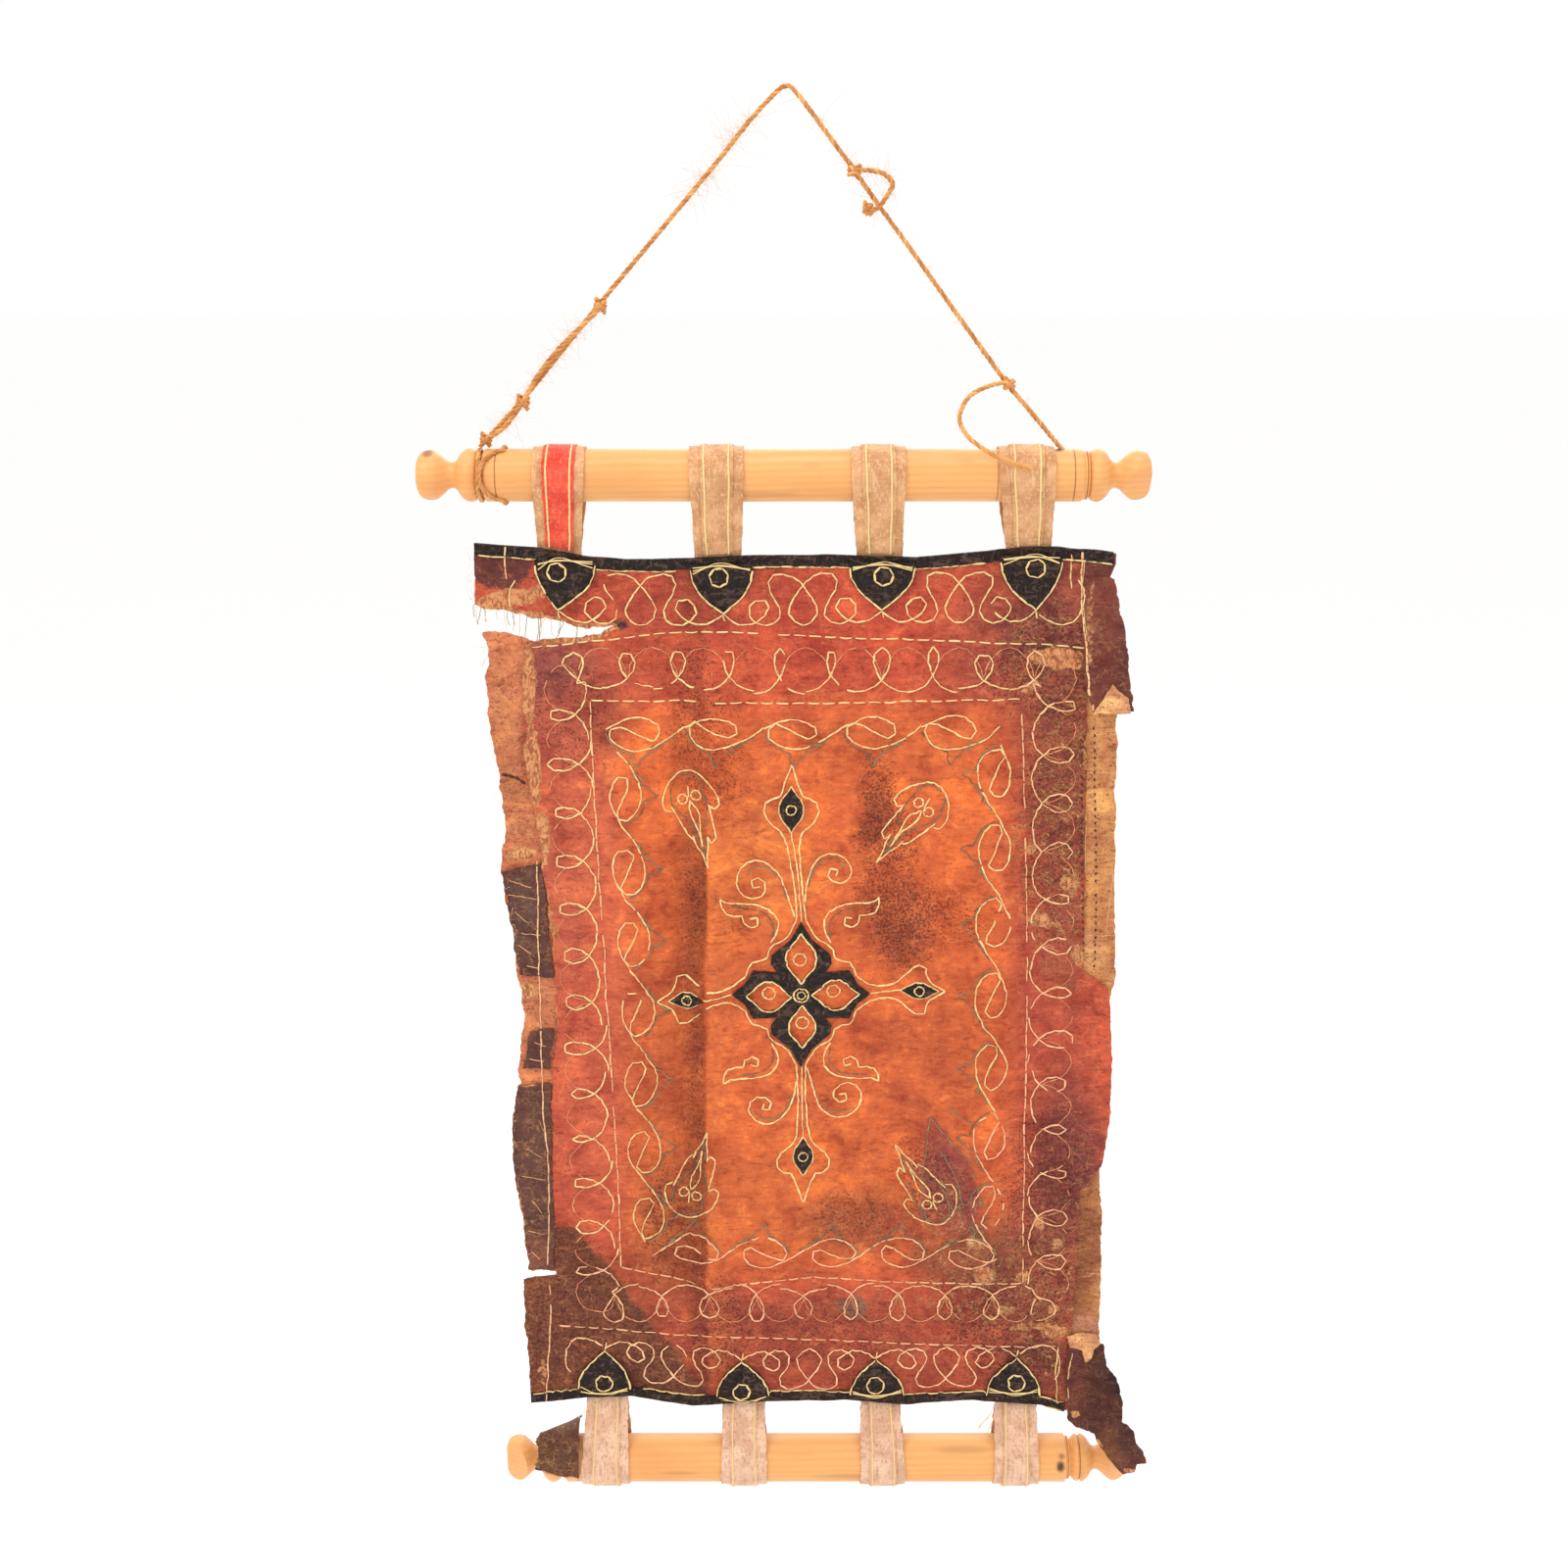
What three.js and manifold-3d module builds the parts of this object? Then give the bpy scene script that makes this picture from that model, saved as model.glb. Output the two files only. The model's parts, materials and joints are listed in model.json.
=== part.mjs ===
import * as THREE from "three";
import { mergeVertices } from "three/addons/utils/BufferGeometryUtils.js";
import Module from "manifold-3d";

// Leather wall hanging on two turned wooden rods, hung from a cord.
// Millimetres, +Z up, +X to the viewer's right, +Y towards the wall.
// The origin is the top of the hanging cord, where it would lie over a nail.

const wasm = await Module();
wasm.setup();

// Driving sizes

const GAP = 0.35;
const PANEL_HALF = 1;
const PATCH_THICKNESS = 1.2;
const BINDING_THICKNESS = 1.1;
const BINDING_HEIGHT = 10;
const SHIELD_STEP = { from: 13, over: 8 };
const STRAP_THICKNESS = 1.5;
const STRIP_THICKNESS = 1;
const ROD_RADIUS = 20;
const CORD_DIAMETER = 3.6;
const CORD_SIDES = 8;
const ROD_SIDES = 22;
const BORE_SIDES = 12;
const CURVE_STEPS = 6;
// Length of a cord's straight pieces, on the long runs and in the small loops
const CORD_STEP = 9;
const TIGHT_CORD_STEP = 4.8;
const LATTICE = { x: 12, z: 36 };
const FINE_LATTICE = { x: 12, z: 6 };

const TOP_ROD = { left: -281, right: 277, z: -284 };
const BOTTOM_ROD = { left: -240, right: 292, z: -1125 };

// Half of a rod's turned end: the distance from the tip and the radius there
const ROD_END = [
  { along: 0, radius: 0 },
  { along: 0, radius: 12 },
  { along: 2.5, radius: 16.5 },
  { along: 8, radius: 18.8 },
  { along: 14, radius: 18.2 },
  { along: 19, radius: 14.5 },
  { along: 23, radius: 11 },
  { along: 27, radius: 9.6 },
  { along: 30, radius: 11.5 },
  { along: 33, radius: 16 },
  { along: 37, radius: 19.4 },
  { along: 41, radius: 20.2 },
  { along: 45, radius: 18.6 },
  { along: 48, radius: 15.5 },
  { along: 52.5, radius: 19.8 },
  { along: 56, radius: ROD_RADIUS },
];
const GROOVE_ALONG = 48;

// Soft upright folds in the panel. A positive depth comes towards the viewer. They end on rows
// of the lattice, so that the panel is flat where the black patches and straps are sewn.
const FOLDS = [
  { x: -132, width: 22, depth: 2.5, top: -440, bottom: -900 },
  { x: -80, width: 15, depth: -4.5, top: -396, bottom: -1008 },
  { x: -56, width: 14, depth: 4, top: -396, bottom: -1008 },
  { x: 8, width: 40, depth: 3, top: -420, bottom: -1000 },
  { x: 88, width: 26, depth: -3, top: -500, bottom: -1008 },
  { x: 165, width: 22, depth: 3, top: -410, bottom: -960 },
  { x: 212, width: 14, depth: -2.5, top: -470, bottom: -1008 },
];
const FOLD_FADE = 60;

// Outlines in the hanging plane, each with only the corners it needs

const TOP_EDGE = [
  { x: -240, z: -337 }, { x: -194, z: -340 }, { x: -153, z: -347 }, { x: -123, z: -350 },
  { x: -75, z: -349 }, { x: -20, z: -346 }, { x: 28, z: -346 }, { x: 100, z: -348 },
  { x: 164, z: -342 }, { x: 209, z: -340 }, { x: 254, z: -344 },
];
const BOTTOM_EDGE = [
  { x: -218, z: -1071 }, { x: -172, z: -1066 }, { x: -132, z: -1064 }, { x: -80, z: -1073 },
  { x: -15, z: -1069 }, { x: 50, z: -1068 }, { x: 104, z: -1072 }, { x: 160, z: -1068 },
  { x: 218, z: -1073 }, { x: 240, z: -1080 },
];
const PANEL_RIGHT = [
  { x: 254, z: -352 }, { x: 233, z: -400 }, { x: 236, z: -469 }, { x: 240, z: -682 },
  { x: 262, z: -698 }, { x: 267, z: -758 }, { x: 267, z: -812 }, { x: 262, z: -854 },
  { x: 244, z: -876 }, { x: 244, z: -952 }, { x: 241, z: -1020 },
];
const PANEL_LEFT = [
  { x: -219, z: -1035 }, { x: -222, z: -956 }, { x: -194, z: -952 }, { x: -193, z: -863 },
  { x: -192, z: -778 }, { x: -187, z: -731 }, { x: -186, z: -689 }, { x: -195, z: -588 },
  { x: -207, z: -495 }, { x: -206, z: -448 }, { x: -203, z: -414 },
];
const TEAR = [
  { x: -188, z: -411 }, { x: -161, z: -410 }, { x: -144, z: -407 }, { x: -134, z: -400 },
  { x: -153, z: -401 }, { x: -172, z: -397 }, { x: -195, z: -393 }, { x: -223, z: -388 },
  { x: -242, z: -384 },
];
const LEFT_STRIP = [
  { x: -236, z: -406 }, { x: -219, z: -404 }, { x: -180, z: -416 }, { x: -178, z: -700 },
  { x: -180, z: -948 }, { x: -214, z: -950 }, { x: -218, z: -907 }, { x: -224, z: -860 },
  { x: -226, z: -821 }, { x: -219, z: -775 }, { x: -213, z: -720 }, { x: -218, z: -688 },
  { x: -222, z: -640 }, { x: -228, z: -597 }, { x: -223, z: -560 }, { x: -228, z: -517 },
  { x: -235, z: -468 }, { x: -233, z: -420 },
];
const RIGHT_STRIP = [
  { x: 222, z: -445 }, { x: 259, z: -447 }, { x: 262, z: -567 }, { x: 267, z: -688 },
  { x: 260, z: -730 }, { x: 259, z: -850 }, { x: 264, z: -900 }, { x: 266, z: -1020 },
  { x: 228, z: -1022 },
];
const DARK_PATCHES = [
  [{ x: -228, z: -600 }, { x: -196, z: -592 }, { x: -188, z: -688 }, { x: -215, z: -685 }],
  [{ x: -208, z: -735 }, { x: -190, z: -733 }, { x: -193, z: -768 }, { x: -216, z: -767 }],
  [
    { x: -221, z: -782 }, { x: -194, z: -781 }, { x: -194, z: -948 }, { x: -216, z: -947 },
    { x: -220, z: -905 }, { x: -225, z: -860 }, { x: -227, z: -820 },
  ],
];
const TOP_RIGHT_FLAP = [
  { x: 229, z: -361 }, { x: 254, z: -363 }, { x: 255, z: -375 }, { x: 263, z: -404 },
  { x: 267, z: -440 }, { x: 272, z: -467 }, { x: 240, z: -469 }, { x: 231, z: -438 },
];
const TURNED_CORNER = [
  { x: 240, z: -468.5 }, { x: 254, z: -445 }, { x: 267, z: -456 }, { x: 268, z: -467.5 },
];
const BOTTOM_RIGHT_FLAP = [
  { x: 238, z: -1019 }, { x: 268, z: -1016 }, { x: 273, z: -1034 }, { x: 281, z: -1047 },
  { x: 286, z: -1068 }, { x: 285, z: -1079 }, { x: 294, z: -1086 }, { x: 303, z: -1105 },
  { x: 305, z: -1113 }, { x: 297, z: -1113 }, { x: 295, z: -1121 }, { x: 286, z: -1124 },
  { x: 270, z: -1106 }, { x: 260, z: -1089 }, { x: 238, z: -1078 },
];

// Straps: the middle and width at the rod and at the panel
const TOP_STRAPS = [
  { rodX: -172, rodWidth: 39, panelX: -175, panelWidth: 34 },
  { rodX: -53, rodWidth: 41, panelX: -53, panelWidth: 36 },
  { rodX: 70, rodWidth: 41, panelX: 72, panelWidth: 35 },
  { rodX: 182, rodWidth: 42, panelX: 187, panelWidth: 35 },
];
const BOTTOM_STRAPS = [
  { rodX: -154, rodWidth: 40, panelX: -153, panelWidth: 35 },
  { rodX: -36, rodWidth: 39, panelX: -36.5, panelWidth: 36 },
  { rodX: 83, rodWidth: 38, panelX: 80.5, panelWidth: 33 },
  { rodX: 196.5, rodWidth: 38, panelX: 197, panelWidth: 35 },
];
const STRAP_TUCK = 14;
const STRAP_CLEAR = 2.4;
const STRAP_BORE = 0.65;
const STRIP_SHARE = 0.62;
const STRIP_START = 0.06;
const STRIP_WRAP = 0.66;
const ARC_STEPS = 14;

// Black patches that cover the straps' roots: their two sides, base and tip
const TOP_SHIELDS = [
  { left: -194, right: -146, base: -348, tipX: -177, tipZ: -388 },
  { left: -75, right: -25, base: -352, tipX: -49, tipZ: -391 },
  { left: 48, right: 100, base: -350, tipX: 74, tipZ: -388 },
  { left: 164, right: 213, base: -345, tipX: 193, tipZ: -388 },
];
const BOTTOM_SHIELDS = [
  { left: -178, right: -132, base: -1062, tipX: -154, tipZ: -1021 },
  { left: -60, right: -14, base: -1068, tipX: -38, tipZ: -1032 },
  { left: 54, right: 101, base: -1067, tipX: 76, tipZ: -1030 },
  { left: 170, right: 217, base: -1068, tipX: 196, tipZ: -1028 },
];

// Black medallion and its four buds
const MEDALLION = { x: 12, z: -702, halfWidth: 56, halfHeight: 62 };
const PETALS = [
  { x: 0, z: 31, halfWidth: 12, halfHeight: 21, turn: 0 },
  { x: 1, z: -27, halfWidth: 10.5, halfHeight: 18, turn: 0 },
  { x: -26, z: -1.5, halfWidth: 12.5, halfHeight: 18, turn: 1 },
  { x: 28, z: 0, halfWidth: 12.5, halfHeight: 19, turn: 1 },
];
const BUDS = [
  { name: "bud_top", x: 4, z: -547, halfWidth: 9, halfHeight: 18, turn: 0 },
  { name: "bud_bottom", x: 14, z: -843, halfWidth: 7.5, halfHeight: 16, turn: 0 },
  { name: "bud_left", x: -81, z: -709, halfWidth: 6, halfHeight: 13.5, turn: 1 },
  { name: "bud_right", x: 108, z: -700, halfWidth: 6, halfHeight: 14.5, turn: 1 },
];

// The cord's routes. The main cord runs from the rod's groove at left to the bore at right.
const CORD_MAIN = [
  { x: -233, y: 0, z: -262.6 }, { x: -229, y: 0, z: -258 }, { x: -221, y: 0, z: -250 },
  { x: -195, y: 0, z: -222 }, { x: -167, y: 0, z: -189 }, { x: -140, y: 0, z: -157 },
  { x: -92, y: 0, z: -102 }, { x: -47, y: 0, z: -50 }, { x: -27, y: 0, z: -26 },
  { x: -9, y: 0, z: -7.5 }, { x: -3, y: 0, z: -2.6 }, { x: 2, y: 0, z: -1.8 },
  { x: 6.5, y: 0, z: -5.6 }, { x: 16, y: 0, z: -17 }, { x: 33, y: 0, z: -39 },
  { x: 50, y: 0, z: -61 }, { x: 67, y: 0, z: -84 }, { x: 93, y: 0, z: -118 },
  { x: 120, y: 0, z: -154 }, { x: 145, y: 0, z: -187 }, { x: 168, y: 0, z: -217 },
  { x: 184, y: 0, z: -235 }, { x: 197, y: 0, z: -250 }, { x: 207.5, y: 0, z: -262 },
  { x: 214, y: 0, z: -269.5 }, { x: 220, y: 0, z: -276.5 },
];
const CORD_TAIL = [
  { x: -139, y: -4.3, z: -160 }, { x: -150, y: -4.5, z: -170 }, { x: -171, y: -5, z: -190 },
  { x: -186, y: -5, z: -208 }, { x: -196, y: -4.5, z: -224 }, { x: -204, y: -4.3, z: -236 },
  { x: -214, y: -4.6, z: -248 }, { x: -224, y: -6, z: -255 },
];
const KNOT_LOOP = [
  { x: 50, y: -4, z: -61 }, { x: 60, y: -5, z: -61 }, { x: 72, y: -8, z: -64 },
  { x: 78, y: -9, z: -71 }, { x: 74, y: -9, z: -79 }, { x: 68, y: -8.5, z: -87 },
  { x: 58, y: -8, z: -92 },
];
const LOOSE_LOOP = [
  { x: 167, y: -4.2, z: -214 }, { x: 157, y: -5, z: -215.5 }, { x: 147, y: -6, z: -219 },
  { x: 138, y: -8, z: -224 }, { x: 133, y: -10, z: -231 }, { x: 130, y: -14, z: -241 },
  { x: 135, y: -20, z: -252 }, { x: 146, y: -26, z: -261 }, { x: 158, y: -27.5, z: -268 },
  { x: 172, y: -27.5, z: -273.5 }, { x: 183, y: -27, z: -277 },
];
// Slanted saw cuts on three of the rods' ends: a point on each plane and its turns in radians
const SAW_CUTS = [
  { x: 268, y: -9, z: TOP_ROD.z - 6, turnZ: 0.25, turnX: 0.65 },
  { x: -228, y: -10, z: BOTTOM_ROD.z, turnZ: -0.6, turnX: 0.1 },
  { x: 286, y: -10, z: BOTTOM_ROD.z - 3, turnZ: 0.5, turnX: 0.3 },
];
const ROD_BORE = { x: 207.5, z: -262, slant: -0.714, radius: 2.5, depth: 24 };

// Finishes

const material = (color, roughness) =>
  new THREE.MeshStandardMaterial({ color, roughness, metalness: 0 });
const PINE = material(0xe6b478, 0.5);
const TAN = material(0xc98a5a, 0.75);
const RUSSET = material(0xb5532f, 0.6);
const BLACK = material(0x2a2220, 0.45);
const MAROON = material(0x4a2a26, 0.65);
const STRAP = material(0xc0946f, 0.8);
const PALE_STRAP = material(0xd9b08f, 0.85);
const RED = material(0xd23c2c, 0.7);
const TWINE = material(0xc8965a, 0.9);

// Solids and meshes

function solidOf(geometry) {
  const bare = geometry.clone();
  bare.deleteAttribute("normal");
  bare.deleteAttribute("uv");
  const merged = mergeVertices(bare, 1e-4);
  const index = merged.index.array;
  const kept = [];
  for (let i = 0; i < index.length; i += 3) {
    const [a, b, c] = [index[i], index[i + 1], index[i + 2]];
    if (a !== b && b !== c && c !== a) kept.push(a, b, c);
  }
  return new wasm.Manifold(new wasm.Mesh({
    numProp: 3,
    vertProperties: new Float32Array(merged.attributes.position.array),
    triVerts: new Uint32Array(kept),
  }));
}

function geometryOf(solid) {
  const mesh = solid.getMesh();
  const geometry = new THREE.BufferGeometry();
  geometry.setAttribute("position", new THREE.BufferAttribute(mesh.vertProperties, 3));
  geometry.setIndex(new THREE.BufferAttribute(mesh.triVerts, 1));
  geometry.computeVertexNormals();
  return geometry;
}

const hanging = new THREE.Group();

function place(name, solid, finish) {
  const mesh = new THREE.Mesh(geometryOf(solid), finish);
  mesh.name = name;
  hanging.add(mesh);
}

const smooth = (t) => THREE.MathUtils.smoothstep(t, 0, 1);

// How far the panel's middle lies towards the wall at a place in the hanging plane
function fold(x, z) {
  let y = 0;
  for (const { x: middle, width, depth, top, bottom } of FOLDS) {
    const fade = smooth((top - z) / FOLD_FADE) * smooth((z - bottom) / FOLD_FADE);
    y -= depth * fade * Math.exp(-(((x - middle) / width) ** 2));
  }
  return y;
}

const point = ({ x, z }) => new THREE.Vector2(x, z);
const outlineShape = (corners) => new THREE.Shape(corners.map(point));

// A straight prism through the whole hanging, with its outline in the hanging plane
function prism(shape, reach = 60) {
  const geometry = new THREE.ExtrudeGeometry(
    shape, { depth: 2 * reach, bevelEnabled: false, curveSegments: CURVE_STEPS });
  geometry.rotateX(Math.PI / 2).translate(0, reach, 0);
  return solidOf(geometry);
}

// A folded slab over a box of the hanging plane. front and back are distances towards the
// viewer from the panel's middle, and lift adds to both.
function slab(box, { front, back, lift = () => 0, lattice = LATTICE }) {
  const firstX = Math.floor(box.min.x / lattice.x) - 1;
  const firstZ = Math.floor(box.min.y / lattice.z) - 1;
  const countX = Math.ceil(box.max.x / lattice.x) + 2 - firstX;
  const countZ = Math.ceil(box.max.y / lattice.z) + 2 - firstZ;
  const places = [];
  for (const side of [front, back]) {
    for (let row = 0; row < countZ; row++) {
      for (let column = 0; column < countX; column++) {
        const x = (firstX + column) * lattice.x;
        const z = (firstZ + row) * lattice.z;
        places.push(x, fold(x, z) - side - lift(x, z), z);
      }
    }
  }
  const at = (side, column, row) => (side * countZ + row) * countX + column;
  const faces = [];
  const quad = (a, b, c, d) => faces.push(a, b, c, a, c, d);
  for (let row = 0; row < countZ - 1; row++) {
    for (let column = 0; column < countX - 1; column++) {
      const [right, up] = [column + 1, row + 1];
      quad(at(0, column, row), at(0, right, row), at(0, right, up), at(0, column, up));
      quad(at(1, column, row), at(1, column, up), at(1, right, up), at(1, right, row));
    }
  }
  for (let column = 0; column < countX - 1; column++) {
    const top = countZ - 1;
    quad(at(0, column, 0), at(1, column, 0), at(1, column + 1, 0), at(0, column + 1, 0));
    quad(at(0, column, top), at(0, column + 1, top), at(1, column + 1, top), at(1, column, top));
  }
  for (let row = 0; row < countZ - 1; row++) {
    const end = countX - 1;
    quad(at(0, 0, row), at(0, 0, row + 1), at(1, 0, row + 1), at(1, 0, row));
    quad(at(0, end, row), at(1, end, row), at(1, end, row + 1), at(0, end, row + 1));
  }
  const geometry = new THREE.BufferGeometry();
  geometry.setAttribute("position", new THREE.Float32BufferAttribute(places, 3));
  geometry.setIndex(faces);
  return solidOf(geometry);
}

function sheet(shape, layer) {
  const box = new THREE.Box2().setFromPoints(shape.getPoints(CURVE_STEPS));
  return slab(box, layer).intersect(prism(shape));
}

const FRONT_OF_PANEL = PANEL_HALF + GAP;
const FRONT_OF_BINDING = FRONT_OF_PANEL + BINDING_THICKNESS + GAP;
const onPanel = (thickness) => ({ front: FRONT_OF_PANEL + thickness, back: FRONT_OF_PANEL });
const behindPanel = (thickness) => ({ front: -FRONT_OF_PANEL, back: -FRONT_OF_PANEL - thickness });

// Panel, border strips and patches

const panelOutline = [
  ...TOP_EDGE, ...PANEL_RIGHT, ...[...BOTTOM_EDGE].reverse(), ...PANEL_LEFT, ...TEAR,
];
place("panel", sheet(outlineShape(panelOutline), { front: PANEL_HALF, back: -PANEL_HALF }), RUSSET);
place("border_strip_left", sheet(outlineShape(LEFT_STRIP), behindPanel(PATCH_THICKNESS)), TAN);
place("border_strip_right", sheet(outlineShape(RIGHT_STRIP), behindPanel(PATCH_THICKNESS)), TAN);
DARK_PATCHES.forEach((corners, i) => {
  const patch = sheet(outlineShape(corners), { front: PANEL_HALF, back: -PANEL_HALF });
  place(`dark_patch_${i + 1}`, patch, MAROON);
});

// Bindings: a folded black band round each end of the panel

function bandShape(edge, outward, inner, outer) {
  const near = edge.map(({ x, z }) => ({ x, z: z + outward * outer }));
  const far = edge.map(({ x, z }) => ({ x, z: z - outward * inner }));
  const loop = [...near, ...far.reverse()];
  return outlineShape(loop);
}

function binding(edge, outward) {
  const wrap = FRONT_OF_PANEL + BINDING_THICKNESS;
  const outer = sheet(
    bandShape(edge, outward, BINDING_HEIGHT, GAP + BINDING_THICKNESS), { front: wrap, back: -wrap });
  const first = { x: edge[0].x - BINDING_HEIGHT, z: edge[0].z };
  const last = { x: edge.at(-1).x + BINDING_HEIGHT, z: edge.at(-1).z };
  const inner = sheet(
    bandShape([first, ...edge, last], outward, 2 * BINDING_HEIGHT, GAP),
    { front: FRONT_OF_PANEL, back: -FRONT_OF_PANEL });
  return outer.subtract(inner);
}

place("binding_top", binding(TOP_EDGE, 1), BLACK);
place("binding_bottom", binding(BOTTOM_EDGE, -1), BLACK);

// Black patches over the straps' roots, stepped down from the binding to the panel

const SHIELD_CURVE = { side: 0.45, shoulder: 0.62, inset: 6 };

function shieldShape({ left, right, base, tipX, tipZ }) {
  const shape = new THREE.Shape();
  const side = base + SHIELD_CURVE.side * (tipZ - base);
  const shoulder = base + SHIELD_CURVE.shoulder * (tipZ - base);
  shape.moveTo(left, base);
  shape.bezierCurveTo(left, side, left + SHIELD_CURVE.inset, shoulder, tipX, tipZ);
  shape.bezierCurveTo(right - SHIELD_CURVE.inset, shoulder, right, side, right, base);
  return shape;
}

function shield(row) {
  const high = FRONT_OF_BINDING - FRONT_OF_PANEL;
  const down = (z) => (Math.abs(z - row.base) - SHIELD_STEP.from) / SHIELD_STEP.over;
  const lift = (x, z) => high * (1 - smooth(down(z)));
  return sheet(shieldShape(row), { ...onPanel(PATCH_THICKNESS), lift, lattice: FINE_LATTICE });
}

TOP_SHIELDS.forEach((row, i) => place(`shield_top_${i + 1}`, shield(row), BLACK));
BOTTOM_SHIELDS.forEach((row, i) => place(`shield_bottom_${i + 1}`, shield(row), BLACK));

// Medallion and buds

// An almond with a point at each end, upright or, with a turn, lying down
const ALMOND = { neckAcross: 0.35, neckUp: 0.55, bellyUp: 0.5 };

function almondShape({ x, z, halfWidth: w, halfHeight: h, turn }) {
  const path = new THREE.Path();
  const put = (across, up) => (turn ? [x + up, z + across] : [x + across, z + up]);
  const neck = (side, end) => put(side * w * ALMOND.neckAcross, end * h * ALMOND.neckUp);
  const belly = (side, end) => put(side * w, end * h * ALMOND.bellyUp);
  path.moveTo(...put(0, h));
  path.bezierCurveTo(...neck(1, 1), ...belly(1, 1), ...put(w, 0));
  path.bezierCurveTo(...belly(1, -1), ...neck(1, -1), ...put(0, -h));
  path.bezierCurveTo(...neck(-1, -1), ...belly(-1, -1), ...put(-w, 0));
  path.bezierCurveTo(...belly(-1, 1), ...neck(-1, 1), ...put(0, h));
  return new THREE.Shape(path.getPoints(CURVE_STEPS));
}

// Corners of a quarter of the medallion, as shares of its half width and half height
const MEDALLION_QUARTER = [
  { across: 0, up: 1 }, { across: 0.16, up: 0.75 }, { across: 0.43, up: 0.54 },
  { across: 0.44, up: 0.42 }, { across: 0.34, up: 0.31 }, { across: 0.7, up: 0.33 },
  { across: 0.82, up: 0.13 }, { across: 1, up: 0 },
];

function medallionShape({ x, z, halfWidth, halfHeight }) {
  const signs = [[1, 1], [1, -1], [-1, -1], [-1, 1]];
  const corners = signs.flatMap(([sideX, sideZ], i) => {
    const run = i % 2 ? [...MEDALLION_QUARTER].reverse() : MEDALLION_QUARTER;
    return run.slice(0, -1).map(({ across, up }) => ({
      x: x + sideX * across * halfWidth,
      z: z + sideZ * up * halfHeight,
    }));
  });
  return outlineShape(corners);
}

const petalHoles = PETALS.map((petal) => prism(almondShape({
  ...petal, x: MEDALLION.x + petal.x, z: MEDALLION.z + petal.z,
})));
const medallion = petalHoles.reduce(
  (solid, hole) => solid.subtract(hole), sheet(medallionShape(MEDALLION), onPanel(PATCH_THICKNESS)));
place("medallion", medallion, BLACK);
for (const bud of BUDS) place(bud.name, sheet(almondShape(bud), onPanel(PATCH_THICKNESS)), BLACK);

// Torn flaps of the old dark border

const TOP_CURL = { from: -400, over: 60, out: 4, sideFrom: 240, sideOver: 30, side: 2 };
const topRightLift = (x, z) => TOP_CURL.out * smooth((TOP_CURL.from - z) / TOP_CURL.over)
  + TOP_CURL.side * smooth((x - TOP_CURL.sideFrom) / TOP_CURL.sideOver);
const topRightFlap = sheet(outlineShape(TOP_RIGHT_FLAP),
  { ...onPanel(PATCH_THICKNESS), lift: topRightLift, lattice: FINE_LATTICE });
const turnedCorner = sheet(outlineShape(TURNED_CORNER), {
  front: FRONT_OF_PANEL + 2 * PATCH_THICKNESS, back: FRONT_OF_PANEL + PATCH_THICKNESS / 2,
  lift: topRightLift, lattice: FINE_LATTICE,
});
place("flap_top_right", topRightFlap.add(turnedCorner), MAROON);

// The lower flap leaves the panel above the binding and comes out far enough to clear the rod
const ROD_CLEAR = ROD_RADIUS + 2;
const BOTTOM_CURL = { from: -1052, over: 48, sideFrom: 250, sideOver: 40, side: 3 };
const bottomRightLift = (x, z) => ROD_CLEAR * smooth((BOTTOM_CURL.from - z) / BOTTOM_CURL.over)
  + BOTTOM_CURL.side * smooth((x - BOTTOM_CURL.sideFrom) / BOTTOM_CURL.sideOver);
const bottomRightFlap = sheet(outlineShape(BOTTOM_RIGHT_FLAP),
  { ...onPanel(PATCH_THICKNESS), lift: bottomRightLift, lattice: FINE_LATTICE });
place("flap_bottom_right", bottomRightFlap, MAROON);

// Loose piece laid over the left end of the bottom rod: a bent sheet round the rod's axis. It
// narrows towards its left end and humps up off the rod towards its right end.
const ROD_FLAP = {
  left: -213, right: -176.5, frontDegrees: 196, backDegrees: 62, thickness: 1.4, clear: 0.9,
  narrowing: 0.35, hump: 15, humpPower: 1.5, across: 6, around: 12,
};

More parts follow.
